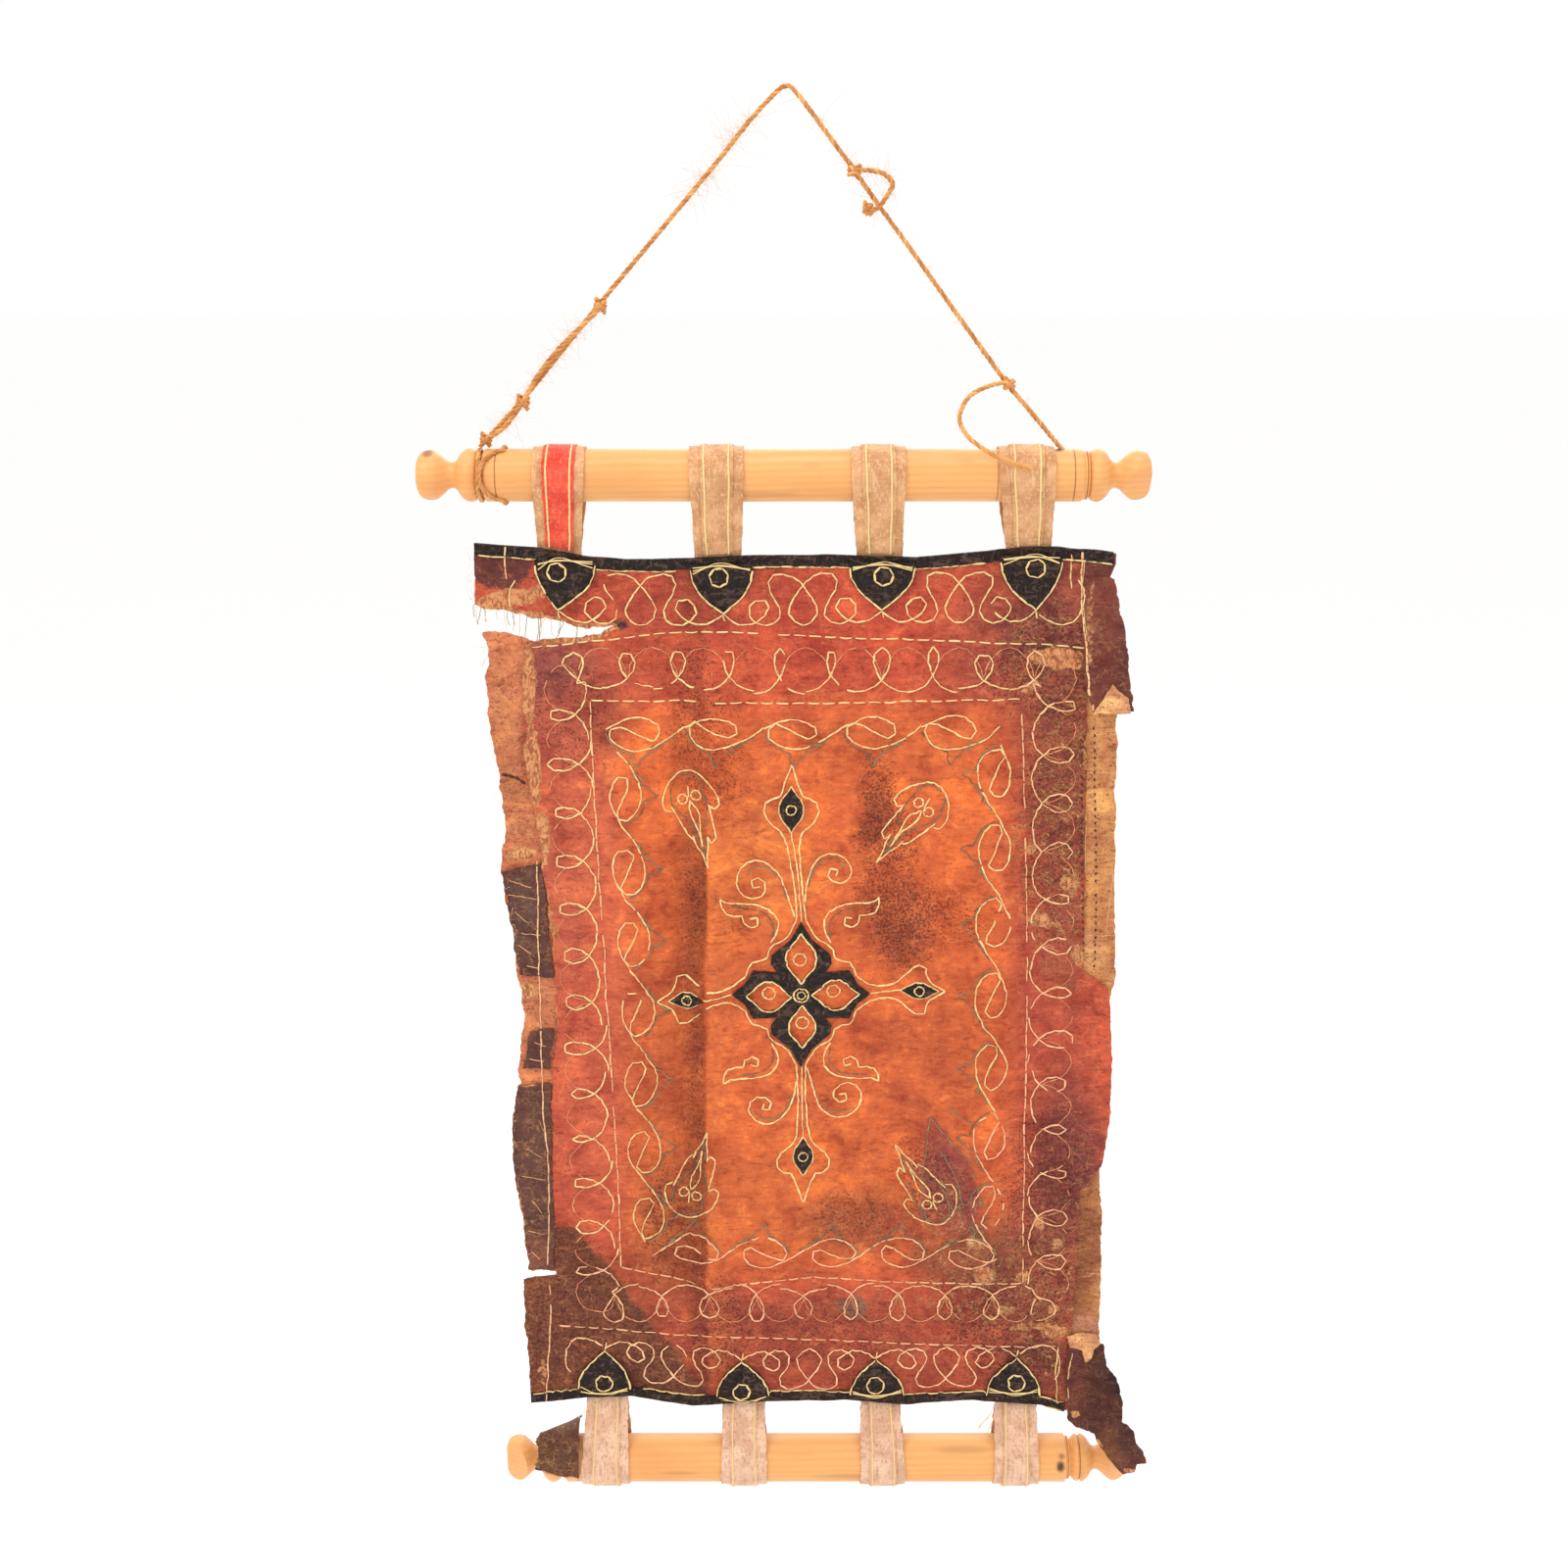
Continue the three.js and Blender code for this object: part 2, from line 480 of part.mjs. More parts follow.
function rodFlap(flap) {
  const { left, right, thickness, across, around } = flap;
  const places = [];
  for (const out of [thickness, 0]) {
    for (let i = 0; i <= across; i++) {
      for (let j = 0; j <= around; j++) {
        const along = i / across;
        const taper = 1 - flap.narrowing * (1 - along) ** 2;
        const bend = 0.5 + (j / around - 0.5) * taper;
        const angle = THREE.MathUtils.degToRad(
          THREE.MathUtils.lerp(flap.frontDegrees, flap.backDegrees, bend));
        const rise = flap.hump * along ** flap.humpPower * Math.max(0, Math.sin(angle)) ** 2;
        const radius = ROD_RADIUS + flap.clear + out + rise;
        places.push(
          THREE.MathUtils.lerp(left, right, along),
          radius * Math.cos(angle),
          BOTTOM_ROD.z + radius * Math.sin(angle));
      }
    }
  }
  const at = (side, i, j) => (side * (across + 1) + i) * (around + 1) + j;
  const faces = [];
  const quad = (a, b, c, d) => faces.push(a, b, c, a, c, d);
  for (let i = 0; i < across; i++) {
    for (let j = 0; j < around; j++) {
      quad(at(0, i, j), at(0, i + 1, j), at(0, i + 1, j + 1), at(0, i, j + 1));
      quad(at(1, i, j), at(1, i, j + 1), at(1, i + 1, j + 1), at(1, i + 1, j));
    }
    quad(at(0, i, 0), at(1, i, 0), at(1, i + 1, 0), at(0, i + 1, 0));
    quad(at(0, i, around), at(0, i + 1, around), at(1, i + 1, around), at(1, i, around));
  }
  for (let j = 0; j < around; j++) {
    quad(at(0, 0, j), at(0, 0, j + 1), at(1, 0, j + 1), at(1, 0, j));
    quad(at(0, across, j), at(1, across, j), at(1, across, j + 1), at(0, across, j + 1));
  }
  const geometry = new THREE.BufferGeometry();
  geometry.setAttribute("position", new THREE.Float32BufferAttribute(places, 3));
  geometry.setIndex(faces);
  return solidOf(geometry);
}

place("flap_on_rod", rodFlap(ROD_FLAP), MAROON);

// Straps: a ribbon section in the YZ plane, drawn out along X between two slanted sides.
// outward is 1 where the rod is above the panel and -1 where it is below.

function loopPath({ rodZ, outward, edge, radius, frontY, backY }) {
  const bendAt = edge + outward * STRAP_CLEAR;
  const middle = new THREE.Vector2(0, rodZ);
  const tangent = (from, side) => {
    const away = from.clone().sub(middle);
    return away.angle() + side * outward * Math.acos(radius / away.length());
  };
  const frontFoot = new THREE.Vector2(frontY, bendAt);
  const backFoot = new THREE.Vector2(backY, bendAt);
  const start = tangent(frontFoot, -1);
  let sweep = tangent(backFoot, 1) - start;
  while (outward * sweep > 0) sweep -= outward * 2 * Math.PI;
  const points = [new THREE.Vector2(frontY, edge - outward * STRAP_TUCK), frontFoot];
  for (let i = 0; i <= ARC_STEPS; i++) {
    const angle = start + (sweep * i) / ARC_STEPS;
    const out = new THREE.Vector2(radius * Math.cos(angle), radius * Math.sin(angle));
    points.push(out.add(middle));
  }
  points.push(backFoot, new THREE.Vector2(backY, edge - outward * STRAP_TUCK));
  return points;
}

// The panel's edge at a place across it, and the point of the edge that a strap has to clear
function edgeAt(edge, x) {
  const next = edge.findIndex((corner) => corner.x > x);
  const [before, after] = [edge[next - 1], edge[next]];
  return THREE.MathUtils.mapLinear(x, before.x, after.x, before.z, after.z);
}

function withEdge(row, edge, outward) {
  const steps = [-0.5, -0.25, 0, 0.25, 0.5];
  const heights = steps.map((step) => outward * edgeAt(edge, row.panelX + step * row.panelWidth));
  return { ...row, edge: outward * Math.max(...heights) };
}

function ribbon(outer, inner, row, rodZ, share) {
  const shape = new THREE.Shape([...outer, ...[...inner].reverse()]);
  const geometry = new THREE.ExtrudeGeometry(shape, { depth: 1, bevelEnabled: false });
  const position = geometry.attributes.position;
  for (let i = 0; i < position.count; i++) {
    const [y, z, across] = [position.getX(i), position.getY(i), position.getZ(i) - 0.5];
    const down = THREE.MathUtils.clamp((z - rodZ) / (row.edge - rodZ), 0, 1);
    const middle = THREE.MathUtils.lerp(row.rodX, row.panelX, down);
    const width = THREE.MathUtils.lerp(row.rodWidth, row.panelWidth, down) * share;
    position.setXYZ(i, middle + across * width, y, z);
  }
  return solidOf(geometry);
}

// Both legs hang behind the binding: the faces that show at the front and at the back
const STRAP_FRONT = FRONT_OF_BINDING;
const STRAP_BACK = STRAP_FRONT + 2 * STRAP_THICKNESS + GAP;
const STRAP_INSIDE = ROD_RADIUS + STRAP_BORE;

function strap(row, rodZ, outward) {
  const path = (inset) => loopPath({
    rodZ, outward, edge: row.edge, radius: STRAP_INSIDE + STRAP_THICKNESS - inset,
    frontY: STRAP_FRONT + inset, backY: STRAP_BACK - inset,
  });
  return ribbon(path(0), path(STRAP_THICKNESS), row, rodZ, 1);
}

// The sewn strip covers the strap's front leg and ends just past the rod's far side
function strip(row, rodZ, outward) {
  const path = (proud) => {
    const [, foot, ...rest] = loopPath({
      rodZ, outward, edge: row.edge, radius: STRAP_INSIDE + STRAP_THICKNESS + proud,
      frontY: STRAP_FRONT - proud, backY: STRAP_BACK + proud,
    });
    return [foot.lerp(rest[0], STRIP_START), ...rest.slice(0, Math.round(ARC_STEPS * STRIP_WRAP))];
  };
  return ribbon(path(GAP + STRIP_THICKNESS), path(GAP), row, rodZ, STRIP_SHARE);
}

TOP_STRAPS.map((row) => withEdge(row, TOP_EDGE, 1)).forEach((row, i) => {
  place(`strap_top_${i + 1}`, strap(row, TOP_ROD.z, 1), STRAP);
  place(`strip_top_${i + 1}`, strip(row, TOP_ROD.z, 1), i ? STRAP : RED);
});
BOTTOM_STRAPS.map((row) => withEdge(row, BOTTOM_EDGE, -1)).forEach((row, i) => {
  place(`strap_bottom_${i + 1}`, strap(row, BOTTOM_ROD.z, -1), PALE_STRAP);
  place(`strip_bottom_${i + 1}`, strip(row, BOTTOM_ROD.z, -1), PALE_STRAP);
});

// Rods

function rod({ left, right, z }) {
  const leftEnd = ROD_END.map(({ along, radius }) => new THREE.Vector2(radius, left + along));
  const rightEnd = ROD_END.map(({ along, radius }) => new THREE.Vector2(radius, right - along));
  const geometry = new THREE.LatheGeometry([...leftEnd, ...rightEnd.reverse()], ROD_SIDES);
  geometry.rotateZ(-Math.PI / 2).translate(0, 0, z);
  return solidOf(geometry);
}

// A big block behind a slanted plane, which saws the end of a rod
function saw({ x, y, z, turnZ, turnX }) {
  const side = 4 * ROD_RADIUS;
  const block = new THREE.BoxGeometry(side, side, side).translate(0, -side / 2, 0);
  block.rotateX(turnX).rotateZ(turnZ).translate(x, y, z);
  return solidOf(block);
}

const [topSaw, bottomLeftSaw, bottomRightSaw] = SAW_CUTS.map(saw);
const bore = new THREE.CylinderGeometry(
  ROD_BORE.radius, ROD_BORE.radius, 2 * ROD_BORE.depth, BORE_SIDES)
  .rotateX(Math.PI / 2).rotateY(ROD_BORE.slant).translate(ROD_BORE.x, 0, ROD_BORE.z);

place("rod_top", rod(TOP_ROD).subtract(topSaw).subtract(solidOf(bore)), PINE);
place("rod_bottom", rod(BOTTOM_ROD).subtract(bottomLeftSaw).subtract(bottomRightSaw), PINE);

// Cords

function tube(route, step) {
  const curve = new THREE.CatmullRomCurve3(route.map(({ x, y, z }) => new THREE.Vector3(x, y, z)));
  const section = new THREE.Shape();
  section.absarc(0, 0, CORD_DIAMETER / 2, 0, 2 * Math.PI);
  return solidOf(new THREE.ExtrudeGeometry(section, {
    steps: Math.round(curve.getLength() / step), extrudePath: curve, curveSegments: CORD_SIDES / 2,
  }));
}

place("cord_main", tube(CORD_MAIN, CORD_STEP), TWINE);
place("cord_tail_left", tube(CORD_TAIL, CORD_STEP), TWINE);
place("cord_knot_loop", tube(KNOT_LOOP, TIGHT_CORD_STEP), TWINE);
place("cord_loop_right", tube(LOOSE_LOOP, TIGHT_CORD_STEP), TWINE);

const TURN_RADIUS = 19;
const turnProfile = Array.from({ length: CORD_SIDES + 1 }, (_, i) => {
  const angle = (i / CORD_SIDES) * 2 * Math.PI;
  return new THREE.Vector2(
    TURN_RADIUS + (CORD_DIAMETER / 2) * Math.cos(angle), (CORD_DIAMETER / 2) * Math.sin(angle));
});
const turn = new THREE.LatheGeometry(turnProfile, ROD_SIDES)
  .rotateZ(-Math.PI / 2).translate(TOP_ROD.left + GROOVE_ALONG, 0, TOP_ROD.z);
place("cord_turns", solidOf(turn), TWINE);

export default hanging;
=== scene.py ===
import json
import math
import bpy
import bmesh
import numpy as np
from mathutils import Euler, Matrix, Vector, geometry, kdtree
from mathutils.bvhtree import BVHTree

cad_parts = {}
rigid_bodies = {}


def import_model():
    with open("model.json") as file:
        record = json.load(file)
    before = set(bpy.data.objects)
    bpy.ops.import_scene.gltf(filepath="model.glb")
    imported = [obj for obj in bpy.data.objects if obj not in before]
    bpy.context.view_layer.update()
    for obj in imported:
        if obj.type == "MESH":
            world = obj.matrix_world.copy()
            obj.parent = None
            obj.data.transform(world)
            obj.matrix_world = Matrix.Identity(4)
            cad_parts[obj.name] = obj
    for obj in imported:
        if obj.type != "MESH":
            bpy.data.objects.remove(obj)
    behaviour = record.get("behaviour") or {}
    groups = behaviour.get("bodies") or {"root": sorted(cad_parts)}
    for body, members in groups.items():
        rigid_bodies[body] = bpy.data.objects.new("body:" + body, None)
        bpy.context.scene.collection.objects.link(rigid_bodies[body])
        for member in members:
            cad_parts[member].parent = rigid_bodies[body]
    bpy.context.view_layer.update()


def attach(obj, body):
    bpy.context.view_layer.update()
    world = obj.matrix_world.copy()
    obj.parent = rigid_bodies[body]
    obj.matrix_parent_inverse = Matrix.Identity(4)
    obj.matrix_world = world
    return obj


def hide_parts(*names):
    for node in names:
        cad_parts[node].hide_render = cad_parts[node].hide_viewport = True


# Leather wall hanging on two turned wooden rods, hung from a cord.
# Sizes here are millimetres in the frame's own axes and become metres as each mesh is made:
# +X to the viewer's right, +Y towards the wall, +Z up, the origin at the top of the cord.

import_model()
MM = 0.001
BODY = "root"

# Camera: straight on across, a little above the leather's middle and tilted down
CAMERA_PLACE = (-0.0018, -1.58034, -0.13166)
CAMERA_TILT = math.radians(75.96)
CAMERA_LENS = 47.25
CAMERA_SENSOR = 36
CAMERA_FAR = 200
FLOOR_Z = -1.34
FLOOR_REACH = 60

# Sizes and places that follow the solids
PANEL_HALF = 1.0
GAP = 0.35
PATCH_THICKNESS = 1.2
BINDING_THICKNESS = 1.1
BINDING_HEIGHT = 7.6
SHIELD_STEP_FROM = 13
SHIELD_STEP_OVER = 8
FRONT_OF_PANEL = PANEL_HALF + GAP
FRONT_OF_BINDING = FRONT_OF_PANEL + BINDING_THICKNESS + GAP
ROD_RADIUS = 20
TOP_ROD = {"left": -281, "right": 277, "z": -284}
BOTTOM_ROD = {"left": -240, "right": 292, "z": -1125}
# Distance from the rod's tip and radius there
ROD_END = [
    (0, 0), (0, 12), (2.5, 16.5), (8, 18.8), (14, 18.2), (19, 14.5), (23, 11), (27, 9.6),
    (30, 11.5), (33, 16), (37, 19.4), (41, 20.2), (45, 18.6), (48, 15.5), (52.5, 19.8), (56, 20),
]
GROOVE_X = TOP_ROD["left"] + 48
TURN_RADIUS = 19

# Soft upright folds: x, width, depth, top and bottom
FOLDS = [
    (-132, 22, 2.5, -440, -900), (-80, 15, -4.5, -396, -1008), (-56, 14, 4, -396, -1008),
    (8, 40, 3, -420, -1000), (88, 26, -3, -500, -1008), (165, 22, 3, -410, -960),
    (212, 14, -2.5, -470, -1008),
]
FOLD_FADE = 60

TOP_EDGE = [
    (-240, -337), (-194, -340), (-153, -347), (-123, -350), (-75, -349), (-20, -346),
    (28, -346), (100, -348), (164, -342), (209, -340), (254, -344),
]
BOTTOM_EDGE = [
    (-218, -1071), (-172, -1066), (-132, -1064), (-80, -1073), (-15, -1069), (50, -1068),
    (104, -1072), (160, -1068), (218, -1073), (240, -1080),
]
PANEL_RIGHT = [
    (254, -352), (233, -400), (236, -469), (240, -682), (262, -698), (267, -758), (267, -812),
    (262, -854), (244, -876), (244, -952), (241, -1020),
]
PANEL_LEFT = [
    (-219, -1035), (-222, -956), (-194, -952), (-193, -863), (-192, -778), (-187, -731),
    (-186, -689), (-195, -588), (-207, -495), (-206, -448), (-203, -414),
]
TEAR = [
    (-188, -411), (-161, -410), (-144, -407), (-134, -400), (-153, -401), (-172, -397),
    (-195, -393), (-223, -388), (-242, -384),
]
LEFT_STRIP = [
    (-236, -406), (-219, -404), (-180, -416), (-178, -700), (-180, -948), (-214, -950),
    (-218, -907), (-224, -860), (-226, -821), (-219, -775), (-213, -720), (-218, -688),
    (-222, -640), (-228, -597), (-223, -560), (-228, -517), (-235, -468), (-233, -420),
]
RIGHT_STRIP = [
    (222, -445), (259, -447), (262, -567), (267, -688), (260, -730), (259, -850),
    (264, -900), (266, -1020), (228, -1022),
]
DARK_PATCHES = [
    [(-228, -600), (-196, -592), (-188, -688), (-215, -685)],
    [(-208, -735), (-190, -733), (-193, -768), (-216, -767)],
    [(-221, -782), (-194, -781), (-194, -948), (-216, -947), (-220, -905), (-225, -860),
     (-227, -820)],
]
TOP_RIGHT_FLAP = [
    (229, -361), (254, -363), (255, -375), (263, -404), (267, -440), (272, -467),
    (240, -469), (231, -438),
]
TURNED_CORNER = [(240, -468.5), (254, -445), (267, -456), (268, -467.5)]
BOTTOM_RIGHT_FLAP = [
    (238, -1019), (268, -1016), (273, -1034), (281, -1047), (286, -1068), (285, -1079),
    (294, -1086), (303, -1105), (305, -1113), (297, -1113), (295, -1121), (286, -1124),
    (270, -1106), (260, -1089), (238, -1078),
]
# Shields: left, right, base, tip x and tip z
TOP_SHIELDS = [
    (-194, -146, -348, -177, -388), (-75, -25, -352, -49, -391),
    (48, 100, -350, 74, -388), (164, 213, -345, 193, -388),
]
BOTTOM_SHIELDS = [
    (-178, -132, -1062, -154, -1021), (-60, -14, -1068, -38, -1032),
    (54, 101, -1067, 76, -1030), (170, 217, -1068, 196, -1028),
]
# Straps: middle and width at the rod, then at the panel
TOP_STRAPS = [(-172, 39, -175, 34), (-53, 41, -53, 36), (70, 41, 72, 35), (182, 42, 187, 35)]
BOTTOM_STRAPS = [
    (-154, 40, -153, 35), (-36, 39, -36.5, 36), (83, 38, 80.5, 33), (196.5, 38, 197, 35),
]
STRAP_THICKNESS = 1.5
STRIP_THICKNESS = 1.0
STRAP_TUCK = 14
STRAP_CLEAR = 2.4
STRAP_INSIDE = ROD_RADIUS + 0.65
STRAP_FRONT = FRONT_OF_BINDING
STRAP_BACK = STRAP_FRONT + 2 * STRAP_THICKNESS + GAP
# The stretch of a strap's line that its strip covers, from the front leg's lower end
STRIP_RUN = (0.08, 0.6)

MEDALLION = (12, -702, 56, 62)
MEDALLION_QUARTER = [
    (0, 1), (0.16, 0.75), (0.43, 0.54), (0.44, 0.42), (0.34, 0.31), (0.7, 0.33), (0.82, 0.13),
    (1, 0),
]
# Petals: x and z from the medallion's middle, half width, half height, lying down or upright
PETALS = [
    (0, 31, 12, 21, False), (1, -27, 10.5, 18, False), (-26, -1.5, 12.5, 18, True),
    (28, 0, 12.5, 19, True),
]
BUDS = {
    "bud_top": (4, -547, 9, 18, False), "bud_bottom": (14, -843, 7.5, 16, False),
    "bud_left": (-81, -709, 6, 13.5, True), "bud_right": (108, -700, 6, 14.5, True),
}

# The cord's routes, the same points as the solids follow
CORD_MAIN = [
    (-233, 0, -262.6), (-229, 0, -258), (-221, 0, -250), (-195, 0, -222), (-167, 0, -189),
    (-140, 0, -157), (-92, 0, -102), (-47, 0, -50), (-27, 0, -26), (-9, 0, -7.5),
    (-3, 0, -2.6), (2, 0, -1.8), (6.5, 0, -5.6), (16, 0, -17), (33, 0, -39), (50, 0, -61),
    (67, 0, -84), (93, 0, -118), (120, 0, -154), (145, 0, -187), (168, 0, -217),
    (184, 0, -235), (197, 0, -250), (207.5, 0, -262), (214, 0, -269.5), (220, 0, -276.5),
]
CORD_TAIL = [
    (-139, -4.3, -160), (-150, -4.5, -170), (-171, -5, -190), (-186, -5, -208),
    (-196, -4.5, -224), (-204, -4.3, -236), (-214, -4.6, -248), (-224, -6, -255),
]
KNOT_LOOP = [
    (50, -4, -61), (60, -5, -61), (72, -8, -64), (78, -9, -71), (74, -9, -79),
    (68, -8.5, -87), (58, -8, -92),
]
LOOSE_LOOP = [
    (167, -4.2, -214), (157, -5, -215.5), (147, -6, -219), (138, -8, -224),
    (133, -10, -231), (130, -14, -241), (135, -20, -252), (146, -26, -261),
    (158, -27.5, -268), (172, -27.5, -273.5), (183, -27, -277),
]
# Saw cuts on the rods' ends: a point on the plane and its turns about Z and X
TOP_SAWS = [(268, -9, -290, 0.25, 0.65)]
BOTTOM_SAWS = [(-228, -10, -1125, -0.6, 0.1), (286, -10, -1128, 0.5, 0.3)]


# Numbers, noise and lines

def smooth(t):
    t = np.clip(t, 0, 1)
    return t * t * (3 - 2 * t)


def cell_noise(x, z, size, seed):
    """Soft noise from -1 to 1 with bumps about size across."""
    table = np.random.default_rng(seed).uniform(-1, 1, (128, 128))
    u, v = np.asarray(x) / size + 1000, np.asarray(z) / size + 1000
    i, j = np.floor(u).astype(int), np.floor(v).astype(int)
    s, t = smooth(u - i), smooth(v - j)
    i, j, k, m = i % 128, j % 128, (i + 1) % 128, (j + 1) % 128
    near = table[i, j] * (1 - s) + table[k, j] * s
    far = table[i, m] * (1 - s) + table[k, m] * s
    return near * (1 - t) + far * t


def rough(x, z, size, seed, octaves=4):
    total = 0
    for octave in range(octaves):
        total = total + cell_noise(x, z, size / 2 ** octave, seed + octave) / 2 ** octave
    return total / 1.6


def linear(rgb):
    c = np.array(rgb, float) / 255
    return np.where(c <= 0.04045, c / 12.92, ((c + 0.055) / 1.055) ** 2.4)


def resample(line, step):
    line = np.asarray(line, float)
    run = np.concatenate([[0], np.cumsum(np.linalg.norm(np.diff(line, axis=0), axis=1))])
    count = max(2, int(round(run[-1] / step)) + 1)
    at = np.linspace(0, run[-1], count)
    return np.stack([np.interp(at, run, line[:, k]) for k in range(line.shape[1])], axis=1)


def smooth_line(points, step, closed=False):
    """A smooth curve through the points, as points every step mm."""
    p = np.array(points, float)
    if closed:
        p = np.vstack([p[-1], p, p[0], p[1]])
    else:
        p = np.vstack([2 * p[0] - p[1], p, 2 * p[-1] - p[-2]])
    dense = []
    for a, b, c, d in zip(p, p[1:], p[2:], p[3:]):
        k1 = np.linalg.norm(b - a) ** 0.5 + 1e-6
        k2 = k1 + np.linalg.norm(c - b) ** 0.5 + 1e-6
        k3 = k2 + np.linalg.norm(d - c) ** 0.5 + 1e-6
        t = np.linspace(k1, k2, 13)[:-1, None]
        ab = (k1 - t) / k1 * a + t / k1 * b
        bc = (k2 - t) / (k2 - k1) * b + (t - k1) / (k2 - k1) * c
        cd = (k3 - t) / (k3 - k2) * c + (t - k2) / (k3 - k2) * d
        abc = (k2 - t) / k2 * ab + t / k2 * bc
        bcd = (k3 - t) / (k3 - k1) * bc + (t - k1) / (k3 - k1) * cd
        dense.append((k2 - t) / (k2 - k1) * abc + (t - k1) / (k2 - k1) * bcd)
    dense.append(p[-2][None] if not closed else p[1][None])
    return resample(np.vstack(dense), step)


def fold(x, z):
    """How far the leather's middle lies towards the wall."""
    y = 0 * x
    for middle, width, depth, top, bottom in FOLDS:
        fade = smooth((top - z) / FOLD_FADE) * smooth((z - bottom) / FOLD_FADE)
        y = y - depth * fade * np.exp(-((x - middle) / width) ** 2)
    return y


# Small creases: from x, z to x, z, width and depth; a positive depth comes forward
CREASES = [
    (-88, -400, -80, -1010, 3.5, -1.1), (-63, -400, -64, -1040, 2.2, 1.3),
    (-66, -640, -60, -900, 2, 0.8), (-203, -640, -165, -655, 2, 0.6),
    (120, -640, 128, -900, 5, 0.5), (40, -880, 60, -1040, 6, -0.6),
    (150, -440, 158, -620, 4, 0.5), (-120, -470, -128, -700, 4, -0.5),
    (226, -480, 230, -640, 2.5, 0.9), (236, -600, 238, -900, 3, -0.7),
    (180, -990, 238, -1003, 3, 0.9), (-30, -430, -20, -600, 6, 0.4),
]


def near_line(x, z, x1, z1, x2, z2):
    """Distance from a straight stretch, and where along it."""
    dx, dz = x2 - x1, z2 - z1
    along = ((x - x1) * dx + (z - z1) * dz) / (dx * dx + dz * dz)
    t = np.clip(along, 0, 1)
    return np.hypot(x - x1 - t * dx, z - z1 - t * dz), along


def relief(x, z):
    wavy_x = x + 3 * rough(x, z, 60, 11)
    wavy_z = z + 3 * rough(x, z, 60, 15)
    y = -0.55 * rough(x, z, 46, 21, 3)
    y = y - 0.22 * rough(x, 2.2 * z, 13, 31, 3)
    for x1, z1, x2, z2, width, depth in CREASES:
        away, along = near_line(wavy_x, wavy_z, x1, z1, x2, z2)
        y = y - depth * np.exp(-(away / width) ** 2) * smooth(4 * along) * smooth(4 - 4 * along)
    return y


def hang(x, z):
    return fold(x, z) + relief(x, z)


# Materials

